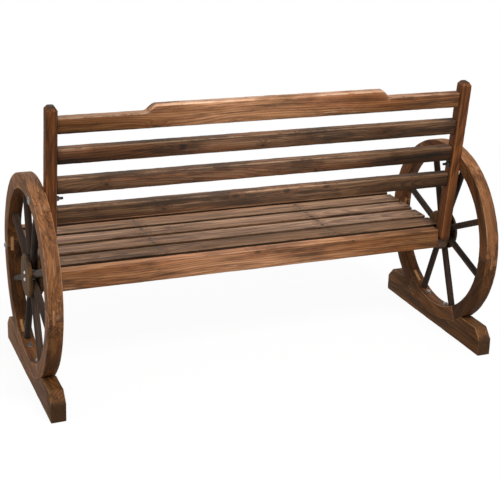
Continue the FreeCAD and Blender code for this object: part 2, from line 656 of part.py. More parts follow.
for side, way in SIDES.items():
    name = "side_rail_" + side
    start = "back_length / 2" if side == "right" else "-(back_length / 2 + post_width)"
    blank = board(name + "_blank", "support_front", "seat_rear", "rail_bottom", "support_top",
                  "post_width", "support_round")
    place(blank, start)
    seat = doc.addObject("Part::Box", name + "_notch")
    bind(seat, Length="post_width + 2 * overrun", Width="post_depth + overrun",
         Height="post_below + overrun")
    place(seat, start + " - overrun",
          "back_y - post_depth * cos(post_lean) - post_below * sin(post_lean)",
          "seat_height + post_depth * sin(post_lean) - post_below * cos(post_lean)", LEANING)
    notched = cut(name + "_notched", blank, seat)
    bores = group(name + "_bores", [bolt_bores["seat", side]] + dowel_bores + slat_bores)
    keep(cut(name, notched, bores), name)

for side, way in SIDES.items():
    name = "cross_support_" + side
    blank = board(name + "_blank", "support_front", "support_rear", "rail_bottom", "support_top",
                  "support_width", "support_round")
    place(blank, way["sign"] + " * support_place - support_width / 2")
    bores = group(name + "_bores", dowel_bores + slat_bores)
    keep(cut(name, blank, bores), name)

# Seat slats, numbered from the front
for i in range(count("seat_slat_count")):
    name = "seat_slat_%d" % (i + 1)
    low = "slat_start + %d * slat_pitch" % i
    blank = board(name + "_blank", low, low + " + seat_slat_width", "support_top", "seat_height",
                  "2 * (wheel_face - seat_slat_end_gap)", "seat_slat_round")
    place(blank, "-(wheel_face - seat_slat_end_gap)")
    keep(cut(name, blank, slat_bore_group), name)

# Fasteners: like ones share a node
keep(group("bolts_group", bolts), "bolts")
keep(group("bolt_washers_group", washers), "bolt_washers")
keep(group("bolt_nuts_group", nuts), "bolt_nuts")
keep(group("foot_screws_group", foot_screws), "foot_screws")
keep(group("foot_washers_group", foot_washers), "foot_washers")
keep(group("hub_screws_group", hub_screws), "hub_screws")
keep(group("slat_screws_group", slat_screws), "slat_screws")
keep(group("back_screws_group", back_screws), "back_screws")
keep(group("seat_dowels_group", dowels), "seat_dowels")

# Check every object before anything is written
doc.recompute()
for thing in doc.Objects:
    faults = {"Invalid", "Error"} & set(thing.State)
    if faults:
        raise RuntimeError("%s is %s" % (thing.Name, ", ".join(faults)))
for node in nodes:
    if node.Shape.isNull() or not node.Shape.isValid() or not node.Shape.Solids:
        raise RuntimeError("%s has no valid solid" % node.Label)

os.makedirs("parts", exist_ok=True)
for node in nodes:
    node.Shape.exportStep("parts/%s.step" % node.Label)
    print("%-24s %2d solid(s) %12.0f mm3" % (node.Label, len(node.Shape.Solids), node.Shape.Volume))
whole = Part.makeCompound([node.Shape for node in nodes]).optimalBoundingBox(False)
print("%d nodes, box %.1f x %.1f x %.1f mm" % (
    len(nodes), whole.XLength, whole.YLength, whole.ZLength))
print("from (%.2f, %.2f, %.2f) to (%.2f, %.2f, %.2f)" % (
    whole.XMin, whole.YMin, whole.ZMin, whole.XMax, whole.YMax, whole.ZMax))
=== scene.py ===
"""Looks of a garden bench of burnt softwood that stands on two wagon wheels.

The bench faces -Y and its length runs along X. All sizes are in metres. Each wooden piece is
modelled anew over its solid of the frame; only the side rails, the dowels and the steel keep
theirs.
"""

import logging
import math
from collections import defaultdict
from contextlib import contextmanager
from dataclasses import dataclass, field
from enum import Enum
from typing import Callable, Iterator, Sequence

import bmesh
import bpy
from mathutils import Matrix, Vector


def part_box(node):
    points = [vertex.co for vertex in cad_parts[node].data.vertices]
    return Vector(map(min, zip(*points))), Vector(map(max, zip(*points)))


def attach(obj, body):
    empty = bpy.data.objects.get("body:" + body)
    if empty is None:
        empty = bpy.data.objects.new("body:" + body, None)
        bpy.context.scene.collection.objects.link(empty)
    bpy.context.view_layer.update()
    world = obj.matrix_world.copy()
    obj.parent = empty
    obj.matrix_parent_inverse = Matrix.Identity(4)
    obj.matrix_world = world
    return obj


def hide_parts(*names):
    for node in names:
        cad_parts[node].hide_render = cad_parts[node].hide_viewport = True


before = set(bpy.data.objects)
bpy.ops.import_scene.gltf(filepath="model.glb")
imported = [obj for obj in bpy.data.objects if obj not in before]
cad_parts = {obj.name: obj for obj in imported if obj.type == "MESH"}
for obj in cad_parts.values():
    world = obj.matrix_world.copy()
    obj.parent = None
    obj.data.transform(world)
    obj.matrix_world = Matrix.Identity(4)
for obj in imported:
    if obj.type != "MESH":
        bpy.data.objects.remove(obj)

LOG = logging.getLogger("bench")
BODY = "root"

# Places nearer than this are the same place, and what is this far away isn't seen
SAME = 1e-5
FAR = 99.0

# Mesh attributes that the woods read
WOOD, KNOT, EDGE, END, SOOT, TONE = "wood", "knot", "edge", "end_grain", "soot", "tone"

FLOAT, VECTOR = "NodeSocketFloat", "NodeSocketVector"
Triple = tuple[float, float, float]
Range = tuple[float, float]
Shade = Callable[[Vector, Vector], float]
Socket = bpy.types.NodeSocket


class Axis(Enum):
    """An axis of a piece before it is put in its place, by its number."""

    X = 0
    Y = 1
    Z = 2

    def direction(self) -> Vector:
        """Step of length 1 along the axis."""
        return Vector([float(number == self.value) for number in range(3)])

    def to_wood(self) -> Matrix:
        """Turn that brings this axis to X, with the two others after it in order."""
        return Matrix([Axis((self.value + i) % 3).direction() for i in range(3)]).to_4x4()


class Side(Enum):
    """Left and right half of the bench, as the sign of X."""

    RIGHT = 1
    LEFT = -1

    def label(self) -> str:
        """Word that ends the names of this side's pieces."""
        return self.name.lower()

    def choose(self, left: float, right: float) -> float:
        """The one of two values that belongs to this side."""
        return right if self is Side.RIGHT else left


class Part(Enum):
    """The parts of a mesh, with the name of the mode that selects them."""

    VERTS = "VERT"
    EDGES = "EDGE"
    FACES = "FACE"


def clamp(value: float) -> float:
    """Keep a number between 0 and 1."""
    return min(1.0, max(0.0, value))


def smooth_step(low: float, high: float, value: float) -> float:
    """Rise softly from 0 at low to 1 at high."""
    share = clamp((value - low) / (high - low))
    return share * share * (3 - 2 * share)


def select_only(piece: bpy.types.Object) -> None:
    """Select one object alone and make it the active one.

    Args:
        piece: The object.
    """
    bpy.ops.object.select_all(action="DESELECT")
    piece.select_set(True)
    bpy.context.view_layer.objects.active = piece


@contextmanager
def editing(piece: bpy.types.Object, part: Part = Part.VERTS) -> Iterator[None]:
    """Open a mesh in edit mode with nothing selected, and close it afterwards.

    Args:
        piece: The mesh object to edit.
        part: What is selected in edit mode.
    """
    select_only(piece)
    bpy.ops.object.mode_set(mode="EDIT")
    bpy.ops.mesh.select_mode(type=part.value)
    bpy.ops.mesh.select_all(action="DESELECT")
    yield
    bpy.ops.object.mode_set(mode="OBJECT")


def pick(piece: bpy.types.Object, part: Part, test: Callable) -> None:
    """Select the parts of a mesh in edit mode that pass a test, and nothing else.

    Args:
        piece: The mesh object, in edit mode.
        part: Which parts are tested.
        test: Says whether a part is selected.
    """
    bpy.ops.mesh.select_all(action="DESELECT")
    shape = bmesh.from_edit_mesh(piece.data)
    for item in [item for item in getattr(shape, part.name.lower()) if test(item)]:
        item.select_set(True)
    bmesh.update_edit_mesh(piece.data)


def just_added(name: str, scale: Sequence[float] = (1, 1, 1)) -> bpy.types.Object:
    """Name and scale the mesh that was just added, and fix it in its place.

    Args:
        name: Name of the piece.
        scale: Its size along each axis, in sizes of the mesh.

    Returns:
        The piece.
    """
    piece = bpy.context.active_object
    piece.name = piece.data.name = name
    piece.scale = scale
    bpy.ops.object.transform_apply(location=True, rotation=True, scale=True)
    return piece


def block(name: str, low: Vector, high: Vector) -> bpy.types.Object:
    """Add a block between two corners."""
    bpy.ops.object.select_all(action="DESELECT")
    bpy.ops.mesh.primitive_cube_add(size=1, location=(low + high) / 2)
    return just_added(name, high - low)


def cylinder(name: str, radius: float, depth: float, middle: Sequence[float],
             turn: Sequence[float] = (0, 0, 0), sides: int = 24) -> bpy.types.Object:
    """Add a cylinder.

    Args:
        name: Name of the piece.
        radius: Its radius.
        depth: Its length.
        middle: Where its middle lies.
        turn: How it is turned from the Z axis.
        sides: Number of its sides.

    Returns:
        The cylinder.
    """
    bpy.ops.object.select_all(action="DESELECT")
    bpy.ops.mesh.primitive_cylinder_add(
        vertices=sides, radius=radius, depth=depth, location=middle, rotation=turn)
    return just_added(name)


def bevel(width: float, segments: int = 3) -> None:
    """Round the selected edges in edit mode."""
    bpy.ops.mesh.bevel(offset=width, segments=segments, affect="EDGES", clamp_overlap=True)


def round_edges(piece: bpy.types.Object, radius: float, sharper_than: float = 30.0) -> None:
    """Round all the edges of a piece that are sharper than an angle.

    Args:
        piece: The mesh object.
        radius: Radius of the rounding.
        sharper_than: The angle in degrees.
    """
    with editing(piece, Part.EDGES):
        bpy.ops.mesh.edges_select_sharp(sharpness=math.radians(sharper_than))
        bevel(radius)


def divide(piece: bpy.types.Object, axis: Axis, spacing: float, shortest: float) -> None:
    """Divide the edges along an axis into steps of about one spacing.

    Args:
        piece: The mesh object.
        axis: The axis.
        spacing: Wanted length of a step.
        shortest: Edges shorter than this are left whole.
    """

    lengths = [0.0]

    def runs_along(edge: bmesh.types.BMEdge) -> bool:
        """Whether an edge runs along the axis and is long enough; its length is noted."""
        reach = edge.verts[1].co - edge.verts[0].co
        along = reach.length > shortest and abs(reach[axis.value]) > 0.999 * reach.length
        lengths.append(reach.length if along else 0.0)
        return along

    with editing(piece, Part.EDGES):
        pick(piece, Part.EDGES, runs_along)
        cuts = round(max(lengths) / spacing) - 1
        if cuts > 0:
            bpy.ops.mesh.subdivide(number_cuts=cuts)


def cut_at(piece: bpy.types.Object, axis: Axis, places: Sequence[float]) -> None:
    """Cut a piece's faces by planes square to an axis, without parting it.

    Args:
        piece: The mesh object.
        axis: The axis.
        places: Where the planes cross it.
    """
    with editing(piece):
        for place in places:
            bpy.ops.mesh.select_all(action="SELECT")
            bpy.ops.mesh.bisect(plane_co=axis.direction() * place, plane_no=axis.direction())


def lift(piece: bpy.types.Object, amount: Callable[[Vector], float], digits: int = 5) -> None:
    """Move points along Z, all those that rise alike in one move.

    Args:
        piece: The mesh object.
        amount: Gives how far a point at some place rises.
        digits: To how many digits after the point two rises are alike.
    """
    groups = defaultdict(set)
    for vertex in piece.data.vertices:
        groups[round(amount(vertex.co), digits)].add(vertex.index)
    with editing(piece):
        for rise, members in groups.items():
            if rise:
                pick(piece, Part.VERTS, lambda vertex, members=members: vertex.index in members)
                bpy.ops.transform.translate(value=(0, 0, rise))


def set_out(name: str, data: bpy.types.ID, place: Matrix = Matrix()) -> bpy.types.Object:
    """Put a mesh, a lamp or a camera in the scene.

    Args:
        name: Name of the object.
        data: The mesh, lamp or camera.
        place: Its place.

    Returns:
        The object.
    """
    thing = bpy.data.objects.new(name, data)
    thing.matrix_world = place
    bpy.context.scene.collection.objects.link(thing)
    return thing


def centred(low: Vector, high: Vector, grain: Axis) -> Matrix:
    """Matrix to wood coordinates that start in the middle of a block."""
    return grain.to_wood() @ Matrix.Translation(-(low + high) / 2)


def even(place: Vector, normal: Vector) -> float:
    """Shade of a piece that is alike all over."""
    return 0.0


@dataclass(frozen=True)
class Board:
    """A length of timber with rounded edges, whose faces are divided evenly."""

    rounding: float
    spacing: float = 0.014
    spacing_across: float = 0.012

    def build(self, name: str, low: Vector, high: Vector, grain: Axis) -> bpy.types.Object:
        """Build the board.

        Args:
            name: Name of the piece.
            low: Lowest corner.
            high: Highest corner.
            grain: Axis along which the grain runs.

        Returns:
            The board.
        """
        piece = block(name, low, high)
        round_edges(piece, self.rounding)
        for axis in Axis:
            spacing = self.spacing if axis is grain else self.spacing_across
            divide(piece, axis, spacing, 2 * self.rounding)
        return piece


class Shaders:
    """Short ways to add nodes to a tree and to join them."""

    def __init__(self, tree: bpy.types.NodeTree) -> None:
        """Keep the tree."""
        self.tree = tree

    @classmethod
    def of(cls, owner: bpy.types.Material | bpy.types.World) -> "Shaders":
        """Start the nodes of a material or a world.

        Args:
            owner: The material or the world.

        Returns:
            Its tree, emptied.
        """
        owner.use_nodes = True
        owner.node_tree.nodes.clear()
        return cls(owner.node_tree)

    def add(self, kind: str, sources: dict[str | int, object] | None = None,
            **settings: object) -> bpy.types.Node:
        """Add a node.

        Args:
            kind: Kind of the node.
            sources: What its inputs are joined to or set to, by their names or numbers.
            settings: Its properties.

        Returns:
            The node.
        """
        node = self.tree.nodes.new(kind)
        for name, value in settings.items():
            setattr(node, name, value)
        for name, source in (sources or {}).items():
            if isinstance(source, Socket):
                self.tree.links.new(source, node.inputs[name])
            else:
                node.inputs[name].default_value = source
        return node

    def group(self, tree: bpy.types.NodeTree, sources: dict[str, object]) -> dict[str, Socket]:
        """Add a node group and give its outputs by their names."""
        node = self.add("ShaderNodeGroup", sources, node_tree=tree)
        return {output.name: output for output in node.outputs}

    def math(self, operation: str, *values: object, clamp: bool = False) -> Socket:
        """Work out a number."""
        return self.add("ShaderNodeMath", dict(enumerate(values)), operation=operation,
                        use_clamp=clamp).outputs[0]

    def vector(self, operation: str, *values: object) -> Socket:
        """Work out a vector, or the length of one."""
        node = self.add("ShaderNodeVectorMath", dict(enumerate(values)), operation=operation)
        return node.outputs["Value" if operation == "LENGTH" else "Vector"]

    def mix(self, share: object, first: object, second: object) -> Socket:
        """Mix two colours."""
        return self.add("ShaderNodeMix", {"Factor": share, 6: first, 7: second},
                        data_type="RGBA").outputs[2]

    def fade(self, value: object, low: float, high: float, bottom: float = 0.0) -> Socket:
        """Rise softly from the bottom at low to 1 at high."""
        return self.add("ShaderNodeMapRange", {0: value, 1: low, 2: high, 3: bottom, 4: 1.0},
                        interpolation_type="SMOOTHSTEP").outputs[0]

    def part(self, value: object, strength: float, reach: Range | None = None) -> Socket:
        """Multiply a number, faded first if it has a range, by a strength."""
        return self.math("MULTIPLY", self.fade(value, *reach) if reach else value, strength)

    def noise(self, place: object, along: float, across: float, detail: float = 2.0,
              roughness: float = 0.5, output: str = "Fac") -> Socket:
        """Add noise.

        Args:
            place: Where the noise is read.
            along: How many times it changes in a metre along X.
            across: How many times it changes in a metre along Y and Z.
            detail: How many finer layers it has.
            roughness: How strong the finer layers are.
            output: Which of its outputs is taken.

        Returns:
            The noise.
        """
        stretched = self.vector("MULTIPLY", place, (along, across, across))
        return self.add("ShaderNodeTexNoise", {
            "Vector": stretched, "Scale": 1.0, "Detail": detail, "Roughness": roughness,
        }).outputs[output]

    def bump(self, strength: float, distance: float, height: object) -> Socket:
        """Make the surface uneven by a height."""
        return self.add("ShaderNodeBump", {"Strength": strength, "Distance": distance,
                                           "Height": height}).outputs[0]

    def seen(self) -> Socket:
        """Give 1 on rays that show the background, straight, mirrored or through glass.

        Returns:
            The number.
        """
        rays = self.add("ShaderNodeLightPath").outputs
        seen = self.math("MAXIMUM", rays["Is Camera Ray"], rays["Is Glossy Ray"])
        return self.math("MAXIMUM", seen, rays["Is Transmission Ray"])

    def blend(self, share: object, first: bpy.types.Node, second: bpy.types.Node,
              kind: str = "ShaderNodeOutputMaterial") -> None:
        """End the tree with a mix of two shaders."""
        both = self.add("ShaderNodeMixShader", dict(enumerate(
            (share, first.outputs[0], second.outputs[0]))))
        self.add(kind, {"Surface": both.outputs[0]})

    def principled(self, sources: dict[str, object]) -> None:
        """End the tree of a material with a shader."""
        shader = self.add("ShaderNodeBsdfPrincipled", sources)
        self.add("ShaderNodeOutputMaterial", {"Surface": shader.outputs[0]})


def new_group(name: str, takes: dict[str, tuple[str, object]],
              gives: Sequence[str]) -> bpy.types.NodeTree:
    """Start a shader node group with named inputs and outputs.

    Args:
        name: Name of the group.
        takes: Name of each input, with its kind and its plain value, if any.
        gives: Name of each output, all of them numbers.

    Returns:
        The group.
    """
    group = bpy.data.node_groups.new(name, "ShaderNodeTree")
    for label, (kind, value) in takes.items():
        socket = group.interface.new_socket(name=label, in_out="INPUT", socket_type=kind)
        if value is not None:
            socket.default_value = value
    for label in gives:
        group.interface.new_socket(name=label, in_out="OUTPUT", socket_type=FLOAT)
    return group


def opaque(colour: Triple) -> tuple[float, float, float, float]:
    """Add an alpha of 1 to a colour."""
    return (*colour, 1.0)


WHITE = opaque((1.0, 1.0, 1.0))

# Noises that the grain gives, read where it is bent: changes in a metre along and across, number
# of finer layers and their strength
BENT_NOISES = {
    "Fibres": (9.0, 480.0, 3.0, 0.6),
    "Lines": (3.2, 150.0, 3.0, 0.65),
    "Streaks": (1.9, 55.0, 4.0, 0.68),
    "Flush": (1.3, 24.0, 3.0, 0.6),
    "Burn": (3.6, 17.0, 5.0, 0.66),
}


@dataclass(frozen=True)
class GrainPattern:
    """Year rings, fibres, streaks and knots in wood coordinates, whose X runs with the grain.

    A noise is given like those in BENT_NOISES, a range by the values where it sets in and is full.
    """

    bend: tuple[float, ...] = (2.1, 6.0, 1.5)
    warp: float = 0.026
    knot_spacing: Triple = (2.7, 7.5, 7.5)
    knot_size: float = 0.075
    knot_length: float = 0.62
    knot_outline: tuple[float, ...] = (40.0, 110.0, 3.0)
    knot_roughness: float = 1.9
    knot_range: Range = (1.15, 0.1)
    near_range: Range = (3.6, 0.9)
    halo_outside: Range = (2.2, 1.3)
    halo_inside: Range = (0.4, 1.0)
    knot_rings: float = 1.8
    drift: tuple[float, ...] = (1.5, 0.0, 1.0)
    drift_reach: float = 0.17
    sway: tuple[float, ...] = (1.1, 0.0, 0.0)
    sway_reach: float = 0.13
    sway_start: float = -0.03
    sway_place: float = 31.0
    ring_noise: tuple[float, ...] = (6.0, 70.0, 2.0)
    ring_shift: float = 0.7
    late_range: Range = (0.3, 0.84)
    year_end: Range = (1.0, 0.92)
    year_difference: float = 0.6
    spots: tuple[float, ...] = (38.0, 120.0, 3.0, 0.65)
    scratches: tuple[float, ...] = (11.0, 210.0, 2.0, 0.5)
    scratch_range: Range = (0.64, 0.7)
    scratched: tuple[float, ...] = (3.1, 9.0, 1.0)
    scratched_range: Range = (0.52, 0.64)

    def build(self) -> bpy.types.NodeTree:
        """Build the node group.

        Returns:
            The group.
        """
        gives = (*BENT_NOISES, "Rings", "Knots", "Near Knot", "Halo", "Spots", "Scratches")
        group = new_group("Softwood grain", {"Wood": (VECTOR, None), "Knot": (VECTOR, None),
                                             "Ring Width": (FLOAT, 0.005)}, gives)
        nodes = Shaders(group)
        start = nodes.add("NodeGroupInput").outputs
        wood = start["Wood"]
        bend = nodes.vector("SUBTRACT", nodes.noise(wood, *self.bend, output="Color"), (0.5,) * 3)
        bend = nodes.vector("MULTIPLY", bend, (0.0, self.warp, self.warp))
        bent = nodes.vector("ADD", wood, bend)
        given = self.knots(nodes, wood, bent, start["Knot"])
        given["Rings"] = self.rings(nodes, wood, bent, start["Ring Width"], given["Near Knot"])
        given["Spots"] = nodes.noise(wood, *self.spots)
        scratch = nodes.fade(nodes.noise(bent, *self.scratches), *self.scratch_range)
        rare = nodes.fade(nodes.noise(wood, *self.scratched), *self.scratched_range)
        given["Scratches"] = nodes.math("MULTIPLY", scratch, rare)
        given |= {label: nodes.noise(bent, *noise) for label, noise in BENT_NOISES.items()}
        nodes.add("NodeGroupOutput", given)
        return group

    def knots(self, nodes: Shaders, wood: Socket, bent: Socket, way: Socket) -> dict[str, Socket]:
        """Add the knots, both those that are known and some by chance.

        Args:
            nodes: The group's nodes.
            wood: Wood coordinates.
            bent: Wood coordinates where the grain is bent.
            way: The way from the nearest known knot.

        Returns:
            Where the knots are, where the grain runs round them, and their halo.
        """
        cells = nodes.add("ShaderNodeTexVoronoi", {
            "Vector": nodes.vector("MULTIPLY", bent, self.knot_spacing), "Scale": 1.0,
        }, feature="F1", voronoi_dimensions="3D")
        chance = nodes.math("DIVIDE", cells.outputs["Distance"], self.knot_size)
        known = nodes.vector("LENGTH", nodes.vector("MULTIPLY", way, (self.knot_length, 1.0, 1.0)))
        rough = nodes.math("MULTIPLY_ADD", nodes.noise(wood, *self.knot_outline),
                           self.knot_roughness, -self.knot_roughness / 2)
        distance = nodes.math("ADD", nodes.math("MINIMUM", known, chance), rough)
        halo = nodes.math("MULTIPLY", nodes.fade(distance, *self.halo_outside),
                          nodes.fade(distance, *self.halo_inside))
        return {"Knots": nodes.fade(distance, *self.knot_range),
                "Near Knot": nodes.fade(distance, *self.near_range), "Halo": halo}

    def rings(self, nodes: Shaders, wood: Socket, bent: Socket, width: Socket,
              near: Socket) -> Socket:
        """Add the year rings round a pith that wanders beside the piece.

        Args:
            nodes: The group's nodes.
            wood: Wood coordinates.
            bent: Wood coordinates where the grain is bent.
            width: Width of a ring.
            near: How near a knot is.

        Returns:
            The dark late wood of the rings.
        """
        parts = nodes.add("ShaderNodeSeparateXYZ", {0: bent}).outputs
        drift = nodes.math("MULTIPLY_ADD", nodes.noise(wood, *self.drift), self.drift_reach,
                           -self.drift_reach / 2)
        elsewhere = nodes.vector("ADD", wood, (self.sway_place, 0.0, 0.0))
        sway = nodes.math("MULTIPLY_ADD", nodes.noise(elsewhere, *self.sway), self.sway_reach,
                          self.sway_start)
        across = nodes.math("POWER", nodes.math("ADD", parts[1], drift), 2.0)
        depth = nodes.math("POWER", nodes.math("ADD", parts[2], sway), 2.0)
        radius = nodes.math("SQRT", nodes.math("ADD", across, depth))
        phase = nodes.math("DIVIDE", radius, width)
        phase = nodes.math("MULTIPLY_ADD", near, self.knot_rings, phase)
        uneven = nodes.noise(wood, *self.ring_noise)
        phase = nodes.math("MULTIPLY_ADD", uneven, self.ring_shift, phase)
        turn = nodes.math("FRACT", phase)
        late = nodes.math("MULTIPLY", nodes.fade(turn, *self.late_range),
                          nodes.fade(turn, *self.year_end))
        year = nodes.add("ShaderNodeTexWhiteNoise", {"W": nodes.math("FLOOR", phase)},
                         noise_dimensions="1D").outputs[0]
        return nodes.math("MULTIPLY", late, nodes.math(
            "MULTIPLY_ADD", year, self.year_difference, 1 - self.year_difference))


@dataclass(frozen=True)
class WoodFinish:
    """Colours and strengths of one kind of burnt and oiled softwood.

    A range says at which values of the grain a coat of colour sets in and is full.
    """

    title: str
    slot: str
    light: Triple
    middle: Triple
    dark: Triple
    burnt: Triple
    warm: Triple
    # Pale colour of rubbed wood, also laid on faces that look up as painted light from above
    worn: Triple
    burn_range: Range = (0.5, 0.66)
    burn_strength: float = 0.8
    ring_strength: float = 0.7
    ring_width: float = 0.0065
    line_strength: float = 0.6
    flush_strength: float = 0.6
    wear: float = 0.6
    end_dark: float = 0.4
    bump: float = 0.4
    bump_height: float = 0.0012
    roughness: float = 0.62
    roughness_low: float = 0.12
    fibre_roughness: float = 0.24
    burn_roughness: float = 0.16
    gloss: float = 0.14
    streak_range: Range = (0.38, 0.62)
    flush_range: Range = (0.5, 0.66)
    line_range: Range = (0.52, 0.68)
    pale_line_range: Range = (0.42, 0.3)
    pale_line_share: float = 0.7
    fibre_range: Range = (0.5, 0.7)
    fibre_strength: float = 0.5
    mottling: float = 0.6
    near_knot_strength: float = 0.35
    halo_strength: float = 0.16
    knot_strength: float = 0.7
    rubbed_burn_range: Range = (0.62, 0.46)
    rubbed_spot_range: Range = (0.3, 0.52)
    scratch_share: float = 0.75
    soot_range: Range = (0.72, 1.0)
    soot_strength: float = 0.75
    tone_saturation: float = -0.05
    tone_value: float = 0.35
    darkest: float = 0.12
    relief: tuple[tuple[str, float], ...] = (
        ("Fibres", 0.7), ("Rings", 0.8), ("Knots", 0.6), ("Spots", 0.5))

    def build(self, grain: bpy.types.NodeTree) -> bpy.types.Material:
        """Build the material around the shared grain.

        Args:
            grain: The node group of the grain.

        Returns:
            The material.
        """
        material = bpy.data.materials.new(self.title)
        nodes = Shaders.of(material)
        marks = {name: nodes.add("ShaderNodeAttribute", attribute_name=name).outputs[output]
                 for name, output in ((WOOD, "Vector"), (KNOT, "Vector"), (EDGE, "Fac"),
                                      (END, "Fac"), (SOOT, "Fac"), (TONE, "Fac"))}
        out = nodes.group(grain, {"Wood": marks[WOOD], "Knot": marks[KNOT],
                                  "Ring Width": self.ring_width})
        colour = opaque(self.light)
        for share, coat in self.coats(nodes, out, marks):
            colour = nodes.mix(share, colour, opaque(coat))
        value = nodes.math("MULTIPLY_ADD", marks[TONE], self.tone_value, 1.0)
        toned = nodes.add("ShaderNodeHueSaturation", {
            "Saturation": nodes.math("MULTIPLY_ADD", marks[TONE], self.tone_saturation, 1.0),
            "Value": nodes.math("MAXIMUM", value, self.darkest), "Color": colour})
        height = 0.0
        for label, share in self.relief:
            height = nodes.math("MULTIPLY_ADD", out[label], share, height)
        rough = nodes.math("MULTIPLY_ADD", out["Fibres"], self.fibre_roughness,
                           self.roughness - self.roughness_low)
        rough = nodes.math("MULTIPLY_ADD", out["Burn"], self.burn_roughness, rough, clamp=True)
        nodes.principled({"Base Color": toned.outputs[0], "Roughness": rough,
                          "Specular IOR Level": self.gloss,
                          "Normal": nodes.bump(self.bump, self.bump_height, height)})
        return material

    def coats(self, nodes: Shaders, out: dict[str, Socket],
              marks: dict[str, Socket]) -> list[tuple[Socket, Triple]]:
        """Add the shares of the colours that lie over the light ground.

        Args:
            nodes: The material's nodes.
            out: What the grain gives.
            marks: What the mesh's attributes give.

        Returns:
            Share and colour of each coat, the lowest first.
        """
        mottled = nodes.math("MULTIPLY_ADD", nodes.math("SUBTRACT", out["Streaks"], 0.5),
                             self.mottling, out["Burn"])
        # Rubbed edges, and on some pieces painted light on the faces that look up
        rubbed_and_lit = nodes.math("MULTIPLY", marks[EDGE],
                            nodes.fade(out["Burn"], *self.rubbed_burn_range))
        rubbed_and_lit = nodes.math("MULTIPLY", rubbed_and_lit,
                            nodes.fade(out["Spots"], *self.rubbed_spot_range))
        rubbed_and_lit = nodes.math("MAXIMUM", nodes.part(rubbed_and_lit, self.wear),
                            nodes.part(out["Scratches"], self.scratch_share * self.wear))
        return [
            (nodes.fade(out["Streaks"], *self.streak_range), self.middle),
            (nodes.part(out["Flush"], self.flush_strength, self.flush_range), self.warm),
            (nodes.part(out["Rings"], self.ring_strength), self.dark),
            (nodes.part(out["Lines"], self.line_strength, self.line_range), self.dark),
            (nodes.part(out["Lines"], self.line_strength * self.pale_line_share,
                        self.pale_line_range), self.light),
            (nodes.part(out["Fibres"], self.fibre_strength, self.fibre_range), self.dark),
            (nodes.part(mottled, self.burn_strength, self.burn_range), self.burnt),
            (nodes.part(out["Near Knot"], self.near_knot_strength), self.dark),
            (nodes.part(out["Halo"], self.halo_strength), self.warm),
            (nodes.part(out["Knots"], self.knot_strength), self.burnt),
            (rubbed_and_lit, self.worn),
            (nodes.part(marks[END], self.end_dark), self.burnt),
            (nodes.part(marks[SOOT], self.soot_strength, self.soot_range), self.burnt)]


FRAME_WOOD = WoodFinish(
    "Reddish brown softwood", "frame_wood",
    light=(0.48, 0.226, 0.1), middle=(0.27, 0.112, 0.046), dark=(0.1, 0.036, 0.015),
    burnt=(0.052, 0.027, 0.015), warm=(0.35, 0.122, 0.043), worn=(0.72, 0.52, 0.38),
    burn_range=(0.46, 0.68), burn_strength=0.75, ring_strength=0.6, line_strength=0.35, wear=0.52)
POST_WOOD = WoodFinish(
    "Dark red softwood", "frame_wood",
    light=(0.25, 0.085, 0.026), middle=(0.125, 0.045, 0.016), dark=(0.04, 0.015, 0.007),
    burnt=(0.03, 0.016, 0.009), warm=(0.3, 0.092, 0.022), worn=(0.48, 0.21, 0.09),
    burn_range=(0.5, 0.68), burn_strength=0.75, wear=0.5)
BACK_SLAT_WOOD = WoodFinish(
    "Smoky brown softwood", "back_slat_wood",
    light=(0.39, 0.21, 0.118), middle=(0.18, 0.094, 0.054), dark=(0.05, 0.028, 0.018),
    burnt=(0.034, 0.026, 0.02), warm=(0.34, 0.138, 0.066), worn=(0.6, 0.38, 0.23),
    burn_range=(0.44, 0.63), burn_strength=0.7, ring_strength=0.55, line_strength=0.4,
    flush_strength=0.7, wear=0.5)
SEAT_SLAT_WOOD = WoodFinish(
    "Worn brown softwood", "seat_slat_wood",
    light=(0.5, 0.285, 0.16), middle=(0.26, 0.141, 0.079), dark=(0.085, 0.043, 0.023),
    burnt=(0.045, 0.028, 0.019), warm=(0.35, 0.16, 0.075), worn=(0.62, 0.42, 0.27),
    burn_range=(0.53, 0.69), burn_strength=0.68, ring_strength=0.65, line_strength=0.5, wear=0.7)
WHEEL_WOOD = WoodFinish(
    "Brown rim softwood", "wheel_wood",
    light=(0.36, 0.155, 0.062), middle=(0.2, 0.083, 0.034), dark=(0.068, 0.028, 0.012),
    burnt=(0.037, 0.02, 0.01), warm=(0.28, 0.1, 0.036), worn=(0.58, 0.36, 0.22),
    burn_range=(0.48, 0.7), burn_strength=0.62, ring_strength=0.48, line_strength=0.42)
HUB_WOOD = WoodFinish(
    "Grey brown softwood", "wheel_wood",
    light=(0.155, 0.078, 0.024), middle=(0.105, 0.05, 0.016), dark=(0.045, 0.022, 0.007),
    burnt=(0.034, 0.018, 0.009), warm=(0.135, 0.062, 0.022), worn=(0.34, 0.22, 0.13), wear=0.5)
BARE_WOOD = WoodFinish(
    "Unburnt softwood", "wheel_wood",
    light=(0.72, 0.36, 0.14), middle=(0.56, 0.26, 0.09), dark=(0.25, 0.1, 0.035),
    burnt=(0.12, 0.05, 0.025), warm=(0.6, 0.23, 0.07), worn=(0.7, 0.42, 0.22),
    burn_range=(0.6, 0.8), burn_strength=0.4, wear=0.5)
SPOKE_WOOD = WoodFinish(
    "Charred softwood", "spoke_wood",
    light=(0.08, 0.048, 0.031), middle=(0.036, 0.022, 0.015), dark=(0.014, 0.009, 0.006),
    burnt=(0.012, 0.008, 0.006), warm=(0.06, 0.03, 0.017), worn=(0.16, 0.1, 0.07),
    burn_range=(0.44, 0.64), wear=0.3, roughness=0.6)
FOOT_WOOD = WoodFinish(
    "Dark brown softwood", "foot_wood",
    light=(0.22, 0.093, 0.03), middle=(0.13, 0.053, 0.017), dark=(0.05, 0.021, 0.008),
    burnt=(0.038, 0.019, 0.009), warm=(0.18, 0.065, 0.019), worn=(0.46, 0.26, 0.13),
    burn_range=(0.48, 0.7), burn_strength=0.65, wear=0.45, end_dark=0.1)


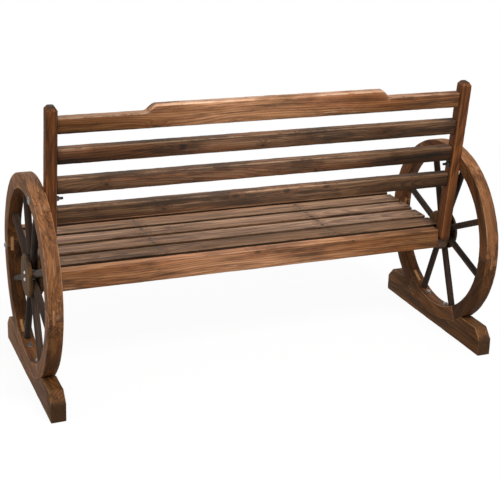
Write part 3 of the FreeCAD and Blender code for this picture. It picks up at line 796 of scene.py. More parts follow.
@dataclass(frozen=True)
class PlainWood:
    """Wood for pieces that keep their solid, with the grain along their Y."""

    title: str
    light: Triple
    dark: Triple
    streak_range: Range = (0.35, 0.65)
    bump: float = 0.3
    bump_height: float = 0.001
    roughness: float = 0.45
    fibre_roughness: float = 0.3

    def build(self, grain: bpy.types.NodeTree) -> bpy.types.Material:
        """Build the material around the shared grain, read at object coordinates.

        Args:
            grain: The node group of the grain.

        Returns:
            The material.
        """
        material = bpy.data.materials.new(self.title)
        nodes = Shaders.of(material)
        turned = nodes.add("ShaderNodeMapping", {
            "Vector": nodes.add("ShaderNodeTexCoord").outputs["Object"],
            "Rotation": (0, 0, math.radians(90))})
        out = nodes.group(grain, {"Wood": turned.outputs[0]})
        nodes.principled({
            "Base Color": nodes.mix(nodes.fade(out["Streaks"], *self.streak_range),
                                    opaque(self.light), opaque(self.dark)),
            "Roughness": nodes.math("MULTIPLY_ADD", out["Fibres"], self.fibre_roughness,
                                    self.roughness),
            "Normal": nodes.bump(self.bump, self.bump_height, out["Fibres"])})
        return material


BEECH = PlainWood("Plain beech", (0.62, 0.42, 0.25), (0.48, 0.3, 0.17))
SIDE_RAIL_WOOD = PlainWood("Side rail softwood", (0.1, 0.045, 0.021), (0.045, 0.022, 0.012))


@dataclass(frozen=True)
class MetalFinish:
    """Steel that time has dulled a little, with painted shade nearer the bench's middle than some
    distance.
    """

    title: str
    bright: Triple
    dull: Triple
    roughness: float
    metallic: float = 1.0
    # Painted shade: nearer the middle than this, the steel is mixed towards the dark colour
    dark_within: float = 0.0
    dark: Triple = (0.03, 0.028, 0.026)
    dark_border: float = 0.001
    cloud_roughness: float = 0.2
    bump: float = 0.2
    bump_height: float = 0.0003

    def build(self, tarnish: bpy.types.NodeTree) -> bpy.types.Material:
        """Build the material around the shared tarnish.

        Args:
            tarnish: The node group of the tarnish.

        Returns:
            The material.
        """
        material = bpy.data.materials.new(self.title)
        nodes = Shaders.of(material)
        place = nodes.add("ShaderNodeTexCoord").outputs["Object"]
        out = nodes.group(tarnish, {"Place": place})
        colour = nodes.mix(out["Clouds"], opaque(self.bright), opaque(self.dull))
        # Painted shade on the inner ends, between wheel and post
        if self.dark_within:
            aside = nodes.add("ShaderNodeSeparateXYZ", {0: place}).outputs[0]
            painted_shade_share = nodes.fade(nodes.math("ABSOLUTE", aside),
                                self.dark_within + self.dark_border, self.dark_within)
            colour = nodes.mix(painted_shade_share, colour, opaque(self.dark))
        nodes.principled({
            "Metallic": self.metallic, "Base Color": colour,
            "Roughness": nodes.math("MULTIPLY_ADD", out["Clouds"], self.cloud_roughness,
                                    self.roughness, clamp=True),
            "Normal": nodes.bump(self.bump, self.bump_height, out["Grit"])})
        return material


def build_tarnish() -> bpy.types.NodeTree:
    """Build the node group for the clouds and grit on steel.

    Returns:
        The group.
    """
    group = new_group("Tarnish", {"Place": (VECTOR, None)}, ("Clouds", "Grit"))
    nodes = Shaders(group)
    place = nodes.add("NodeGroupInput").outputs["Place"]
    clouds = nodes.fade(nodes.noise(place, 260.0, 260.0, 3.0, 0.6), 0.35, 0.7)
    grit = nodes.noise(place, 1400.0, 1400.0, 2.0, 0.6)
    nodes.add("NodeGroupOutput", {"Clouds": clouds, "Grit": grit})
    return group


ZINC_STEEL = MetalFinish("Zinc plated steel", (0.62, 0.61, 0.59), (0.36, 0.35, 0.34), 0.28)
WORN_STEEL = MetalFinish("Worn steel", (0.36, 0.34, 0.32), (0.2, 0.185, 0.17), 0.34)
# The bolts' and washers' inner ends get painted shade
BOLT_STEEL = MetalFinish("Bolt steel", (0.26, 0.255, 0.25), (0.13, 0.125, 0.12), 0.32,
                         dark_within=0.64)
WASHER_STEEL = MetalFinish("Washer steel", (0.56, 0.55, 0.53), (0.32, 0.31, 0.3), 0.3,
                           dark_within=0.64)
DARK_STEEL = MetalFinish("Dull dark steel", (0.12, 0.115, 0.11), (0.05, 0.047, 0.044), 0.4, 0.8)
BLACK_STEEL = MetalFinish("Blackened steel", (0.045, 0.042, 0.04), (0.02, 0.019, 0.018), 0.42, 0.6)
Finish = WoodFinish | PlainWood | MetalFinish

# Nodes of the frame that are shown as they are
KEPT = {
    "hub_screws": ZINC_STEEL, "foot_screws": WORN_STEEL, "foot_washers": WORN_STEEL,
    "bolts": BOLT_STEEL, "bolt_washers": WASHER_STEEL, "bolt_nuts": DARK_STEEL,
    "slat_screws": BLACK_STEEL, "back_screws": BLACK_STEEL, "seat_dowels": BEECH,
    "side_rail_right": SIDE_RAIL_WOOD, "side_rail_left": SIDE_RAIL_WOOD,
}

# How much lighter or darker than its finish each of these pieces is: one number, or one for each
# of several stations from the bench's left end to its right end
REACH = 0.63
TONES = {
    "crest_rail": (-0.6, -0.8, 0.2, 0.4, 1.0, -1.1, -1.6),
    "back_slat_1": (-1.6, -1.5, -1.4, -1.1, -0.9, -1.9, -2.0),
    "back_slat_2": (-2.2, -2.2, -1.1, -0.5, -0.7, -1.3, -1.5),
    "back_slat_3": (-2.2, -2.0, -0.8, -0.2, -0.5, -1.4, -1.5),
    "rear_rail": (-0.8, -0.6, 0.6, 1.1, 0.9, 0.0, -0.2),
    "front_rail": -0.8,
    "seat_slat_1": (0.1, 0.2, 0.3, 0.1, -0.2, -0.5, -0.7),
    "seat_slat_2": (1.4, 1.7, 1.7, 1.2, 0.8, 0.8, 0.7),
    "seat_slat_3": (2.0, 2.3, 2.2, 1.4, 0.9, 0.5, 0.5),
    "seat_slat_4": (-1.0, -0.9, -0.9, -0.9, -1.0, -1.0, -1.0),
    "felloe_left_2": 0.2, "felloe_left_4": -0.8, "felloe_left_6": -1.1,
    "felloe_right_1": -0.6, "felloe_right_2": -0.4, "felloe_right_3": -1.25,
    "felloe_right_4": -1.2, "felloe_right_5": -0.9, "felloe_right_6": -0.9,
    "foot_left": 0.45, "foot_right": -0.1,
    "post_left": -0.3, "post_right": -0.6,
}


@dataclass(frozen=True)
class Knot:
    """A knot that goes through a board along Y or Z, placed on it before the back leans."""

    x: float
    across: float
    size: float
    through: Axis = Axis.Y

    def way(self, place: Vector) -> Vector:
        """Give the way from the knot to a place, in sizes of the knot.

        Args:
            place: The place.

        Returns:
            The way.
        """
        way = (place - Vector((self.x, self.across, self.across))) / self.size
        way[self.through.value] = 0.0
        return way


KNOTS = {
    "back_slat_1": (Knot(0.267, 0.358, 0.0105), Knot(0.02, 0.345, 0.006)),
    "back_slat_2": (Knot(-0.16, 0.25, 0.004), Knot(0.49, 0.262, 0.006)),
    "back_slat_3": (Knot(0.318, 0.172, 0.007), Knot(0.091, 0.19, 0.0085), Knot(-0.07, 0.19, 0.0095),
                    Knot(-0.202, 0.195, 0.009), Knot(0.52, 0.19, 0.005)),
    "crest_rail": (Knot(0.35, 0.424, 0.0085), Knot(0.12, 0.416, 0.006)),
    "rear_rail": (Knot(0.005, 0.342, 0.008), Knot(-0.32, 0.343, 0.005)),
    "seat_slat_4": (Knot(0.147, 0.03, 0.009, Axis.Z),),
    "seat_slat_2": (Knot(-0.29, -0.13, 0.006, Axis.Z),),
}


@dataclass(frozen=True)
class Streak:
    """A paler or darker streak along a board of the back, from one X to another."""

    start: float
    end: float
    height: float
    tone: float
    reach: float = 0.01

    def at(self, x: float, height: float) -> float:
        """Give its tone at a place of the board.

        Args:
            x: The place along the bench.
            height: The place above the board's lower edge.

        Returns:
            The tone, 0 beside the streak.
        """
        along = min(x - self.start, self.end - x) / self.reach / 2
        aside = 1 - abs(height - self.height) / self.reach
        return self.tone * clamp(along) * max(0.0, aside)


STREAKS = {
    "crest_rail": (Streak(0.13, 0.32, 0.045, -1.0, 0.016), Streak(-0.36, -0.21, 0.053, -1.0, 0.016),
                   Streak(-0.62, -0.42, 0.025, 0.9), Streak(-0.07, 0.13, 0.014, 0.8)),
    "back_slat_1": (Streak(0.53, 0.63, 0.042, 1.2), Streak(-0.1, 0.2, 0.033, 0.9),
                    Streak(-0.26, -0.14, 0.033, 1.5)),
    "back_slat_2": (Streak(0.16, 0.48, 0.038, 1.7), Streak(-0.08, 0.12, 0.036, 1.0),
                    Streak(-0.42, -0.17, 0.035, 1.5)),
}


@dataclass
class Workshop:
    """Shared node groups, materials and the finishing of every wooden piece."""

    unevenness: float = 0.0011
    nibble: float = 0.0016
    wave_size: float = 0.075
    chip_size: float = 0.016
    inward_share: float = 0.6
    smooth_below: float = math.radians(38)
    knot_reach: float = 6.0
    grain_shift: float = 3.7
    butt_range: Range = (0.75, 0.92)
    bend_range: Range = (16.0, 28.0)
    top_range: Range = (0.6, 0.95)
    materials: dict[str, bpy.types.Material] = field(default_factory=dict)
    count: int = 0

    def __post_init__(self) -> None:
        """Build the shared node groups and the textures that make timber uneven."""
        self.grain = GrainPattern().build()
        self.tarnish = build_tarnish()
        self.waves = bpy.data.textures.new("Uneven timber", "CLOUDS")
        self.waves.noise_scale = self.wave_size
        self.chips = bpy.data.textures.new("Nibbled edges", "CLOUDS")
        self.chips.noise_scale = self.chip_size

    def dress(self, piece: bpy.types.Object, look: Finish) -> None:
        """Give a piece the material of a finish, which is built once, and no other.

        Args:
            piece: The piece.
            look: The finish.
        """
        if look.title not in self.materials:
            shared = self.tarnish if isinstance(look, MetalFinish) else self.grain
            self.materials[look.title] = look.build(shared)
        piece.data.materials.clear()
        piece.data.materials.append(self.materials[look.title])

    def dress_kept(self) -> None:
        """Dress the nodes of the frame that are shown as they are."""
        for node, look in KEPT.items():
            self.dress(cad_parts[node], look)

    def mark(self, piece: bpy.types.Object, grain: Matrix, shade: Shade = even,
             knots: Sequence[Knot] = (), soot_reach: float = 0.0025, soot_strength: float = 1.0,
             worn_and_lit_top: float = 0.0, wear: float = 1.0) -> None:
        """Write wood coordinates, knots, rubbed edges, soot and end grain into a mesh.

        Args:
            piece: The mesh object, before it is placed.
            grain: Matrix from the mesh to wood coordinates, whose X runs with the grain.
            shade: Gives how much lighter or darker the wood is at a place with a normal.
            knots: The piece's knots.
            soot_reach: Length of the edges over which soot spreads from a butt face.
            soot_strength: Soot on the butt faces.
            worn_and_lit_top: Share of the pale colour on the faces that look up, as wear and as
                painted light from above.
            wear: Share of the usual wear.
        """
        shape = bmesh.new()
        shape.from_mesh(piece.data)
        wood, way = (shape.verts.layers.float_vector.new(name) for name in (WOOD, KNOT))
        edge, soot, tone = (shape.verts.layers.float.new(name) for name in (EDGE, SOOT, TONE))
        end = shape.faces.layers.float.new(END)
        turn = grain.to_3x3()
        for face in shape.faces:
            face[end] = smooth_step(*self.butt_range, abs((turn @ face.normal).x))
        butts = {vertex for face in shape.faces if face[end] > 0.9 for vertex in face.verts}
        for vertex in shape.verts:
            vertex[wood] = grain @ vertex.co
            vertex[way] = turn @ self.from_knot(vertex.co, knots)
            vertex[tone] = shade(vertex.co, vertex.normal)
            near = any(line.calc_length() < soot_reach and line.other_vert(vertex) in butts
                       for line in vertex.link_edges)
            vertex[soot] = soot_strength if near or vertex in butts else 0.0
            bend = max((line.calc_face_angle(0.0) for line in vertex.link_edges), default=0.0)
            # Faces that look up take the pale colour too, partly wear, partly painted light from
            # above
            vertex[edge] = wear * max(smooth_step(*self.bend_range, math.degrees(bend)),
                                      worn_and_lit_top * smooth_step(*self.top_range, vertex.normal.z))
        shape.to_mesh(piece.data)
        shape.free()

    def from_knot(self, place: Vector, knots: Sequence[Knot]) -> Vector:
        """Give the way from the nearest knot to a place, in sizes of that knot.

        Beyond a knot's reach the way is made very long, so that nothing shows half-way to the next.

        Args:
            place: The place.
            knots: The knots.

        Returns:
            The way.
        """
        ways = [knot.way(place) for knot in knots]
        nearest = min(ways, key=lambda way: way.length, default=Vector((FAR, 0.0, 0.0)))
        return nearest if nearest.length < self.knot_reach else nearest * FAR

    def shift_grain(self, piece: bpy.types.Object) -> None:
        """Move the grain along, so that no two pieces look alike.

        Args:
            piece: The mesh object.
        """
        self.count += 1
        shift = Vector((self.grain_shift * self.count, 0.0, 0.0))
        for item in piece.data.attributes[WOOD].data:
            item.vector = item.vector + shift

    def tone(self, piece: bpy.types.Object, stands_for: str) -> None:
        """Make a placed piece lighter or darker, all over or from station to station.

        Args:
            piece: The mesh object, in its place.
            stands_for: The node of the frame that it replaces, if any.
        """
        tones = TONES.get(stands_for, 0.0)
        tones = tones if isinstance(tones, tuple) else (tones, tones)
        last = len(tones) - 1
        for vertex, item in zip(piece.data.vertices, piece.data.attributes[TONE].data):
            place = clamp((vertex.co.x / REACH + 1) / 2) * last
            station = min(int(place), last - 1)
            item.value += tones[station] + (tones[station + 1] - tones[station]) * (place - station)

    def weather(self, piece: bpy.types.Object, strength: float) -> None:
        """Make a placed piece slightly uneven and nibble its edges.

        Args:
            piece: The mesh object, in its place.
            strength: Share of the usual unevenness.
        """
        group = piece.vertex_groups.new(name="edges")
        for index, item in enumerate(piece.data.attributes[EDGE].data):
            if item.value > 0:
                group.add([index], item.value, "REPLACE")
        select_only(piece)
        for label, texture, amount, where in (("Waves", self.waves, self.unevenness, ""),
                                              ("Chips", self.chips, self.nibble, "edges")):
            change = piece.modifiers.new(label, "DISPLACE")
            change.texture = texture
            change.texture_coords = "GLOBAL"
            change.strength = amount * strength
            change.mid_level = self.inward_share
            change.vertex_group = where
            bpy.ops.object.modifier_apply(modifier=label)
        piece.vertex_groups.clear()

    def finish(self, piece: bpy.types.Object, look: WoodFinish, stands_for: str = "",
               strength: float = 1.0) -> None:
        """Weather a placed piece, dress it and join it to the frame.

        Args:
            piece: The mesh object, in its place.
            look: The finish that it gets.
            stands_for: The node of the frame that it replaces, if any.
            strength: Share of the usual unevenness.
        """
        self.shift_grain(piece)
        self.tone(piece, stands_for)
        self.weather(piece, strength)
        bpy.ops.object.shade_smooth_by_angle(angle=self.smooth_below)
        self.dress(piece, look)
        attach(piece, BODY)
        if stands_for:
            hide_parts(stands_for)
        LOG.info("%s: %d faces", piece.name, len(piece.data.polygons))

    def copy_at(self, master: bpy.types.Object, name: str, place: Matrix) -> bpy.types.Object:
        """Copy a marked mesh and put the copy in its place.

        Args:
            master: The mesh object that is copied.
            name: Name of the copy.
            place: Its place.

        Returns:
            The copy.
        """
        mesh = master.data.copy()
        mesh.name = name
        mesh.transform(place)
        return set_out(name, mesh)


@dataclass
class Sweep:
    """The end of a bar that is pushed round the X axis, in edit mode."""

    angle: float = 0.0

    def turn(self, angle: float, steps: int) -> None:
        """Extrude the selected faces round the axis.

        Args:
            angle: How far.
            steps: In how many equal steps.
        """
        for _ in range(steps):
            bpy.ops.mesh.extrude_region()
            bpy.ops.transform.rotate(value=-angle / steps, orient_axis="X",
                                     center_override=(0.0, 0.0, 0.0))
        self.angle += angle

    def ends(self, low: float = -1.0, high: float = 1.0) -> Callable[[bmesh.types.BMFace], bool]:
        """Test for faces at the swept end whose middle lies between two depths.

        Args:
            low: Lowest X.
            high: Highest X.

        Returns:
            The test.
        """
        direction = Vector((0, math.cos(self.angle), math.sin(self.angle)))
        square = Vector((0, -math.sin(self.angle), math.cos(self.angle)))

        def test(face: bmesh.types.BMFace) -> bool:
            """Whether one face lies there."""
            spot = face.calc_center_median()
            return (abs(spot.dot(square)) < SAME * 5 and spot.dot(direction) > 0
                    and low < spot.x < high)

        return test


@dataclass
class Wheel:
    """One wagon wheel: six half-lapped felloes, eight spokes and two hub discs.

    A pair of values, tones or painted light and shade, is for the left and for the right wheel.
    """

    workshop: Workshop
    radius: float = 0.3
    thickness: float = 0.0425
    rim_width: float = 0.046
    centre_y: float = 0.03945
    centre_z: float = 0.3227
    face: float = 0.662
    felloes: int = 6
    felloe_steps: int = 24
    lap_half: float = math.radians(2.387)
    lap_steps: int = 2
    joint: float = math.radians(-2.4)
    rounding: float = 0.0028
    joint_rounding: float = 0.0004
    sharp: float = math.radians(40)
    hollow: float = math.radians(50)
    rim_soot: float = 0.87
    spokes: int = 8
    spoke_radius: float = 0.0105
    spoke_start: float = 0.031
    spoke_tip: float = 0.004
    spoke_tenon: float = 0.014
    spoke_spacing: float = 0.012
    spoke_unevenness: float = 0.7
    hub_radius: float = 0.064
    hub_sides: int = 72
    hub_bevel: float = 0.0055
    hub_bevel_depth: float = 0.004
    hub_thickness: float = 0.0106
    hub_rounding: float = 0.0009
    hub_rings: int = 4
    hub_ring_width: float = 0.012
    hub_unevenness: float = 0.6
    bare_joints: tuple[int, ...] = (3, 4)
    tongue_start: float = 0.0196
    tongue_shift: float = 0.0031
    tongue_width: float = 0.0105
    tongue_length: float = 0.047
    tongue_steps: int = 12
    tongue_proud: float = 0.0004
    tongue_sink: float = 0.0015
    tongue_line: float = 0.0013
    tongue_outline: float = -2.4
    tongue_tone: float = 0.5
    # Painted shade inside the rims, tones of the treads, and painted light and shade on the side
    # faces, each for the left and the right wheel
    inner_tones: Range = (-0.75, -0.2)
    tread_tones: Range = (-0.35, 0.0)
    flank_painted_light_and_shade: Range = (-0.9, 0.5)
    flank_range: Range = (0.6, 0.8)

    def on_axle(self, side: Side, angle: float = 0.0) -> Matrix:
        """Place on a wheel's axle at its lowest X, turned from +Y towards +Z by an angle."""
        start = side.choose(-self.face - self.thickness, self.face)
        return (Matrix.Translation((start, self.centre_y, self.centre_z))
                @ Matrix.Rotation(angle, 4, "X"))

    def felloe(self) -> bpy.types.Object:
        """Model one felloe about the axle, its first joint at angle 0.

        Returns:
            The felloe, whose half next to X = 0 starts a lap earlier than its other half.
        """
        middle = self.thickness / 2
        lap = 2 * self.lap_half
        bpy.ops.object.select_all(action="DESELECT")
        bpy.ops.mesh.primitive_plane_add(
            size=1, location=(middle / 2, self.radius - self.rim_width / 2, 0))
        piece = just_added("felloe_pattern", (middle, self.rim_width, 1))
        sweep = Sweep()
        with editing(piece, Part.FACES):
            bpy.ops.mesh.select_all(action="SELECT")
            sweep.turn(lap, self.lap_steps)
            bpy.ops.mesh.select_mode(type=Part.EDGES.value)
            ends = sweep.ends()

            def on_seam(edge: bmesh.types.BMEdge) -> bool:
                """Whether an edge borders the end face in the middle of the rim."""
                return (any(ends(face) for face in edge.link_faces)
                        and all(abs(vertex.co.x - middle) < SAME for vertex in edge.verts))

            pick(piece, Part.EDGES, on_seam)
            bpy.ops.mesh.extrude_region()
            bpy.ops.transform.translate(value=(middle, 0, 0))
            bpy.ops.mesh.select_mode(type=Part.FACES.value)
            pick(piece, Part.FACES, ends)
            sweep.turn(2 * math.pi / self.felloes - lap, self.felloe_steps)
            pick(piece, Part.FACES, sweep.ends(low=middle))
            sweep.turn(lap, self.lap_steps)
            bpy.ops.mesh.select_all(action="SELECT")
            bpy.ops.mesh.remove_doubles(threshold=SAME)
            bpy.ops.mesh.fill_holes(sides=0)
            bpy.ops.mesh.select_all(action="SELECT")
            bpy.ops.mesh.normals_make_consistent(inside=False)
            bpy.ops.mesh.select_mode(type=Part.EDGES.value)
            pick(piece, Part.EDGES, self.runs_round)
            bevel(self.rounding)
            pick(piece, Part.EDGES, lambda edge: edge.calc_face_angle_signed(0.0) > self.hollow)
            bevel(self.joint_rounding, 1)
        return piece

    def runs_round(self, edge: bmesh.types.BMEdge) -> bool:
        """Tell whether a sharp edge runs round the wheel on one of its side faces.

        Args:
            edge: The edge.

        Returns:
            Whether it does.
        """
        first, second = (vertex.co for vertex in edge.verts)
        same_depth = abs(first.x - second.x) < SAME
        level = abs(math.hypot(first.y, first.z) - math.hypot(second.y, second.z)) < SAME
        outside = min(first.x, self.thickness - first.x) < SAME
        return edge.calc_face_angle(0.0) > self.sharp and same_depth and level and outside

    def rim_painted_light_and_tone(self, side: Side) -> Shade:
        """Give the painted light and shade of a rim, with the tone of its tread.

        Args:
            side: The wheel's side of the bench.

        Returns:
            The shade: painted shade on the face towards the hub, painted light and shade on the
                side faces, a tone on the tread.
        """

        def shade(place: Vector, normal: Vector) -> float:
            """Give the painted light and shade, and the tread's tone, at a place of the rim."""
            # Painted shade on the face towards the hub
            if math.hypot(place.y, place.z) < self.radius - self.rim_width + SAME:
                return side.choose(*self.inner_tones)
            # Painted shade on the left wheel's side faces, painted light on the right wheel's
            flank = smooth_step(*self.flank_range, abs(normal.x))
            return (side.choose(*self.flank_painted_light_and_shade) * flank
                    + side.choose(*self.tread_tones) * (1 - flank))

        return shade

    def build_rim(self, side: Side) -> None:
        """Build and dress the felloes of one wheel.

        Args:
            side: The wheel's side of the bench.
        """
        master = self.felloe()
        middle = (0, self.rim_width / 2 - self.radius, -self.thickness / 2)
        grain = (Matrix.Translation(middle)
                 @ Matrix(((0, 0, 1, 0), (0, 1, 0, 0), (1, 0, 0, 0), (0, 0, 0, 1)))
                 @ Matrix.Rotation(-math.pi / self.felloes, 4, "X"))
        self.workshop.mark(master, grain, self.rim_painted_light_and_tone(side), soot_strength=self.rim_soot)
        marks = master.data.attributes
        for edge, soot in zip(marks[EDGE].data, marks[SOOT].data):
            if soot.value > 0:
                edge.value = 0.0
        for number in range(self.felloes):
            name = "felloe_%s_%d" % (side.label(), number + 1)
            turn = self.joint - self.lap_half + number * 2 * math.pi / self.felloes
            piece = self.workshop.copy_at(master, "rim_" + name, self.on_axle(side, turn))
            self.workshop.finish(piece, WHEEL_WOOD, name)
        bpy.data.objects.remove(master)

    def build_spokes(self, side: Side) -> None:
        """Build and dress the spokes of one wheel, each where its solid stands.

        Args:
            side: The wheel's side of the bench.
        """
        start = self.spoke_start
        reach = self.radius - self.rim_width + self.spoke_tenon - start
        master = cylinder("spoke_pattern", self.spoke_radius, reach, (0, start + reach / 2, 0),
                          (math.radians(90), 0, 0))
        cut_at(master, Axis.Y, [start + self.spoke_tip])
        with editing(master):
            pick(master, Part.VERTS, lambda vertex: vertex.co.y < start + SAME)
            narrow = 1 - self.spoke_tip / 2 / self.spoke_radius
            bpy.ops.transform.resize(value=(narrow, 1, narrow), center_override=(0, start, 0))
        divide(master, Axis.Y, self.spoke_spacing, 2 * self.spoke_tip)
        self.workshop.mark(master, Axis.Y.to_wood())
        for number in range(self.spokes):
            name = "spoke_%s_%d" % (side.label(), number + 1)
            low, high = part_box(name)
            spot = (low + high) / 2
            angle = math.atan2(spot.z - self.centre_z, spot.y - self.centre_y)
            place = self.on_axle(side, angle) @ Matrix.Translation((self.thickness / 2, 0, 0))
            piece = self.workshop.copy_at(master, "rod_" + name, place)
            self.workshop.finish(piece, SPOKE_WOOD, name, self.spoke_unevenness)
        bpy.data.objects.remove(master)

    def build_hub(self, side: Side) -> None:
        """Build and dress the two hub discs of one wheel.

        Args:
            side: The wheel's side of the bench.
        """
        plain = self.hub_thickness - self.hub_bevel_depth
        master = cylinder("hub_pattern", self.hub_radius, plain, (plain / 2, 0, 0),
                          (0, math.radians(90), 0), self.hub_sides)
        with editing(master, Part.FACES):
            pick(master, Part.FACES, lambda face: face.normal.x > 0.9)
            bpy.ops.mesh.inset(thickness=self.hub_bevel)
            bpy.ops.transform.translate(value=(self.hub_bevel_depth, 0, 0))
        round_edges(master, self.hub_rounding, 25)
        with editing(master, Part.FACES):
            for sign in (1, -1):
                pick(master, Part.FACES, lambda face, sign=sign: (
                    face.normal.x * sign > 0.9 and len(face.verts) > self.hub_sides / 2))
                for _ in range(self.hub_rings):
                    bpy.ops.mesh.inset(thickness=self.hub_ring_width)
        self.workshop.mark(master, Axis.Z.to_wood())
        for spot in ("inner", "outer"):
            outward = (spot == "outer") == (side is Side.RIGHT)
            name = "hub_disc_%s_%s" % (spot, side.label())
            shift = self.thickness - self.hub_thickness if outward else self.hub_thickness
            place = (self.on_axle(side) @ Matrix.Translation((shift, 0, 0))
                     @ Matrix.Rotation(0.0 if outward else math.pi, 4, "Z"))
            piece = self.workshop.copy_at(master, "turned_" + name, place)
            self.workshop.finish(piece, HUB_WOOD, name, self.hub_unevenness)
        bpy.data.objects.remove(master)

    def tongue_end(self, side: Side, name: str, level: float, outward: bool) -> bpy.types.Object:
        """Model one end of a tongue that locks two felloes, over the joint at -Z or +Z.

        Args:
            side: The wheel's side of the bench.
            name: Name of the piece.
            level: Radius at which the end shows.
            outward: Whether it shows on the tread, else inside the rim.

        Returns:
            The end.
        """
        half = self.tongue_length / 2
        base = level if outward else -level
        start = self.tongue_start + side.choose(-self.tongue_shift, self.tongue_shift)
        low = Vector((start, -half, base - self.tongue_sink))
        high = Vector((start + self.tongue_width, half, base + self.tongue_proud))
        piece = block(name, low, high)
        step = self.tongue_length / self.tongue_steps
        cut_at(piece, Axis.Y, [step * i - half for i in range(1, self.tongue_steps)])
        with editing(piece, Part.FACES):
            pick(piece, Part.FACES, lambda face: face.normal.z > 0.9)
            bpy.ops.mesh.inset(thickness=self.tongue_line, depth=0)
        hollow = -1 if outward else 1
        lift(piece, lambda spot: hollow * (level - math.sqrt(level ** 2 - spot.y ** 2)))

        def shade(place: Vector, normal: Vector) -> float:
            """Draw the dark outline of the end."""
            border = min(half - abs(place.y), place.x - low.x, high.x - place.x)
            return self.tongue_outline if border < self.tongue_line / 2 else self.tongue_tone

        self.workshop.mark(piece, centred(low, high, Axis.Y), shade, soot_strength=0.0, wear=0.0)
        return piece

    def build_tongues(self, side: Side) -> None:
        """Build the ends of the tongues, seen on the tread and, bare, inside some joints.

        Args:
            side: The wheel's side of the bench.
        """
        inner = self.radius - self.rim_width
        for number in range(self.felloes):
            angle = self.joint + number * 2 * math.pi / self.felloes
            name = "tongue_%s_%d" % (side.label(), number + 1)
            piece = self.tongue_end(side, name + "_outer", self.radius, True)
            piece.data.transform(self.on_axle(side, angle - math.pi / 2))
            self.workshop.finish(piece, WHEEL_WOOD)
            if number in self.bare_joints:
                piece = self.tongue_end(side, name + "_inner", inner, False)
                piece.data.transform(self.on_axle(side, angle + math.pi / 2))
                self.workshop.finish(piece, BARE_WOOD)

    def build(self) -> None:
        """Build both wheels."""
        for side in Side:
            self.build_rim(side)
            self.build_tongues(side)
            self.build_spokes(side)
            self.build_hub(side)


@dataclass
class Foot:
    """A beam with sloped ends and a notch for its wheel."""

    workshop: Workshop
    wheel: Wheel
    length: float = 0.603
    middle_y: float = 0.04055
    top: float = 0.086
    end: float = 0.054
    slope: float = 0.03
    clearance: float = 0.0003
    rounding: float = 0.003
    step: float = 0.0105
    levels: tuple[float, ...] = (0.008, 0.016, 0.03, 0.044)
    shares_across: tuple[float, ...] = (0.25, 0.5, 0.75)
    front_pale: float = 1.2
    end_pale: float = 0.8

    def notch_depth(self, y: float) -> float:
        """Give how far the notch lies below the foot's top.

        Args:
            y: The place along the foot.

        Returns:
            The depth, 0 beside the notch.
        """
        radius = self.wheel.radius + self.clearance
        aside = abs(y - self.wheel.centre_y)
        if aside >= radius:
            return 0.0
        floor = self.wheel.centre_z - math.sqrt(radius ** 2 - aside ** 2)
        return max(0.0, self.top - floor)

    def cut_ends(self, piece: bpy.types.Object) -> None:
        """Cut both ends of the beam to their slope.

        Args:
            piece: The beam.
        """
        with editing(piece):
            for sign in (1, -1):
                corner = Vector((0, self.middle_y + sign * self.length / 2, self.end))
                outward = Vector((0, sign * (self.top - self.end), self.slope)).normalized()
                bpy.ops.mesh.select_all(action="SELECT")
                bpy.ops.mesh.bisect(plane_co=corner, plane_no=outward, use_fill=True,
                                    clear_outer=True)

    def cut_notch(self, piece: bpy.types.Object) -> None:
        """Lower the beam's top to the wheel's round.

        Args:
            piece: The beam.
        """
        radius = self.wheel.radius + self.clearance
        half = math.sqrt(radius ** 2 - (self.wheel.centre_z - self.top) ** 2)
        steps = round(half / self.step)
        places = [half * i / steps for i in range(-steps, steps + 1)]
        outer = (self.length / 2 - self.slope - half) / 3
        places += [sign * (half + outer * i) for sign in (1, -1) for i in (1, 2)]
        cut_at(piece, Axis.Y, [self.wheel.centre_y + place for place in places])
        lift(piece, lambda spot: -self.notch_depth(spot.y) if spot.z > self.top - SAME else 0.0)

    def paler_in_front(self, place: Vector, normal: Vector) -> float:
        """Give the tone of a foot, pale at its front end and on its end faces."""
        along = (self.middle_y - place.y) / self.length * 2
        return self.front_pale * along + self.end_pale * abs(normal.y)

    def build(self) -> None:
        """Build and dress both feet."""
        for side in Side:
            name = "foot_" + side.label()
            low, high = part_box(name)
            piece = block("beam_" + name, low, high)
            self.cut_ends(piece)
            self.cut_notch(piece)
            round_edges(piece, self.rounding, 33)
            cut_at(piece, Axis.Z, self.levels)
            cut_at(piece, Axis.X, [low.x + (high.x - low.x) * i for i in self.shares_across])
            self.workshop.mark(piece, centred(low, high, Axis.Y), self.paler_in_front)
            self.workshop.finish(piece, FOOT_WOOD, name)


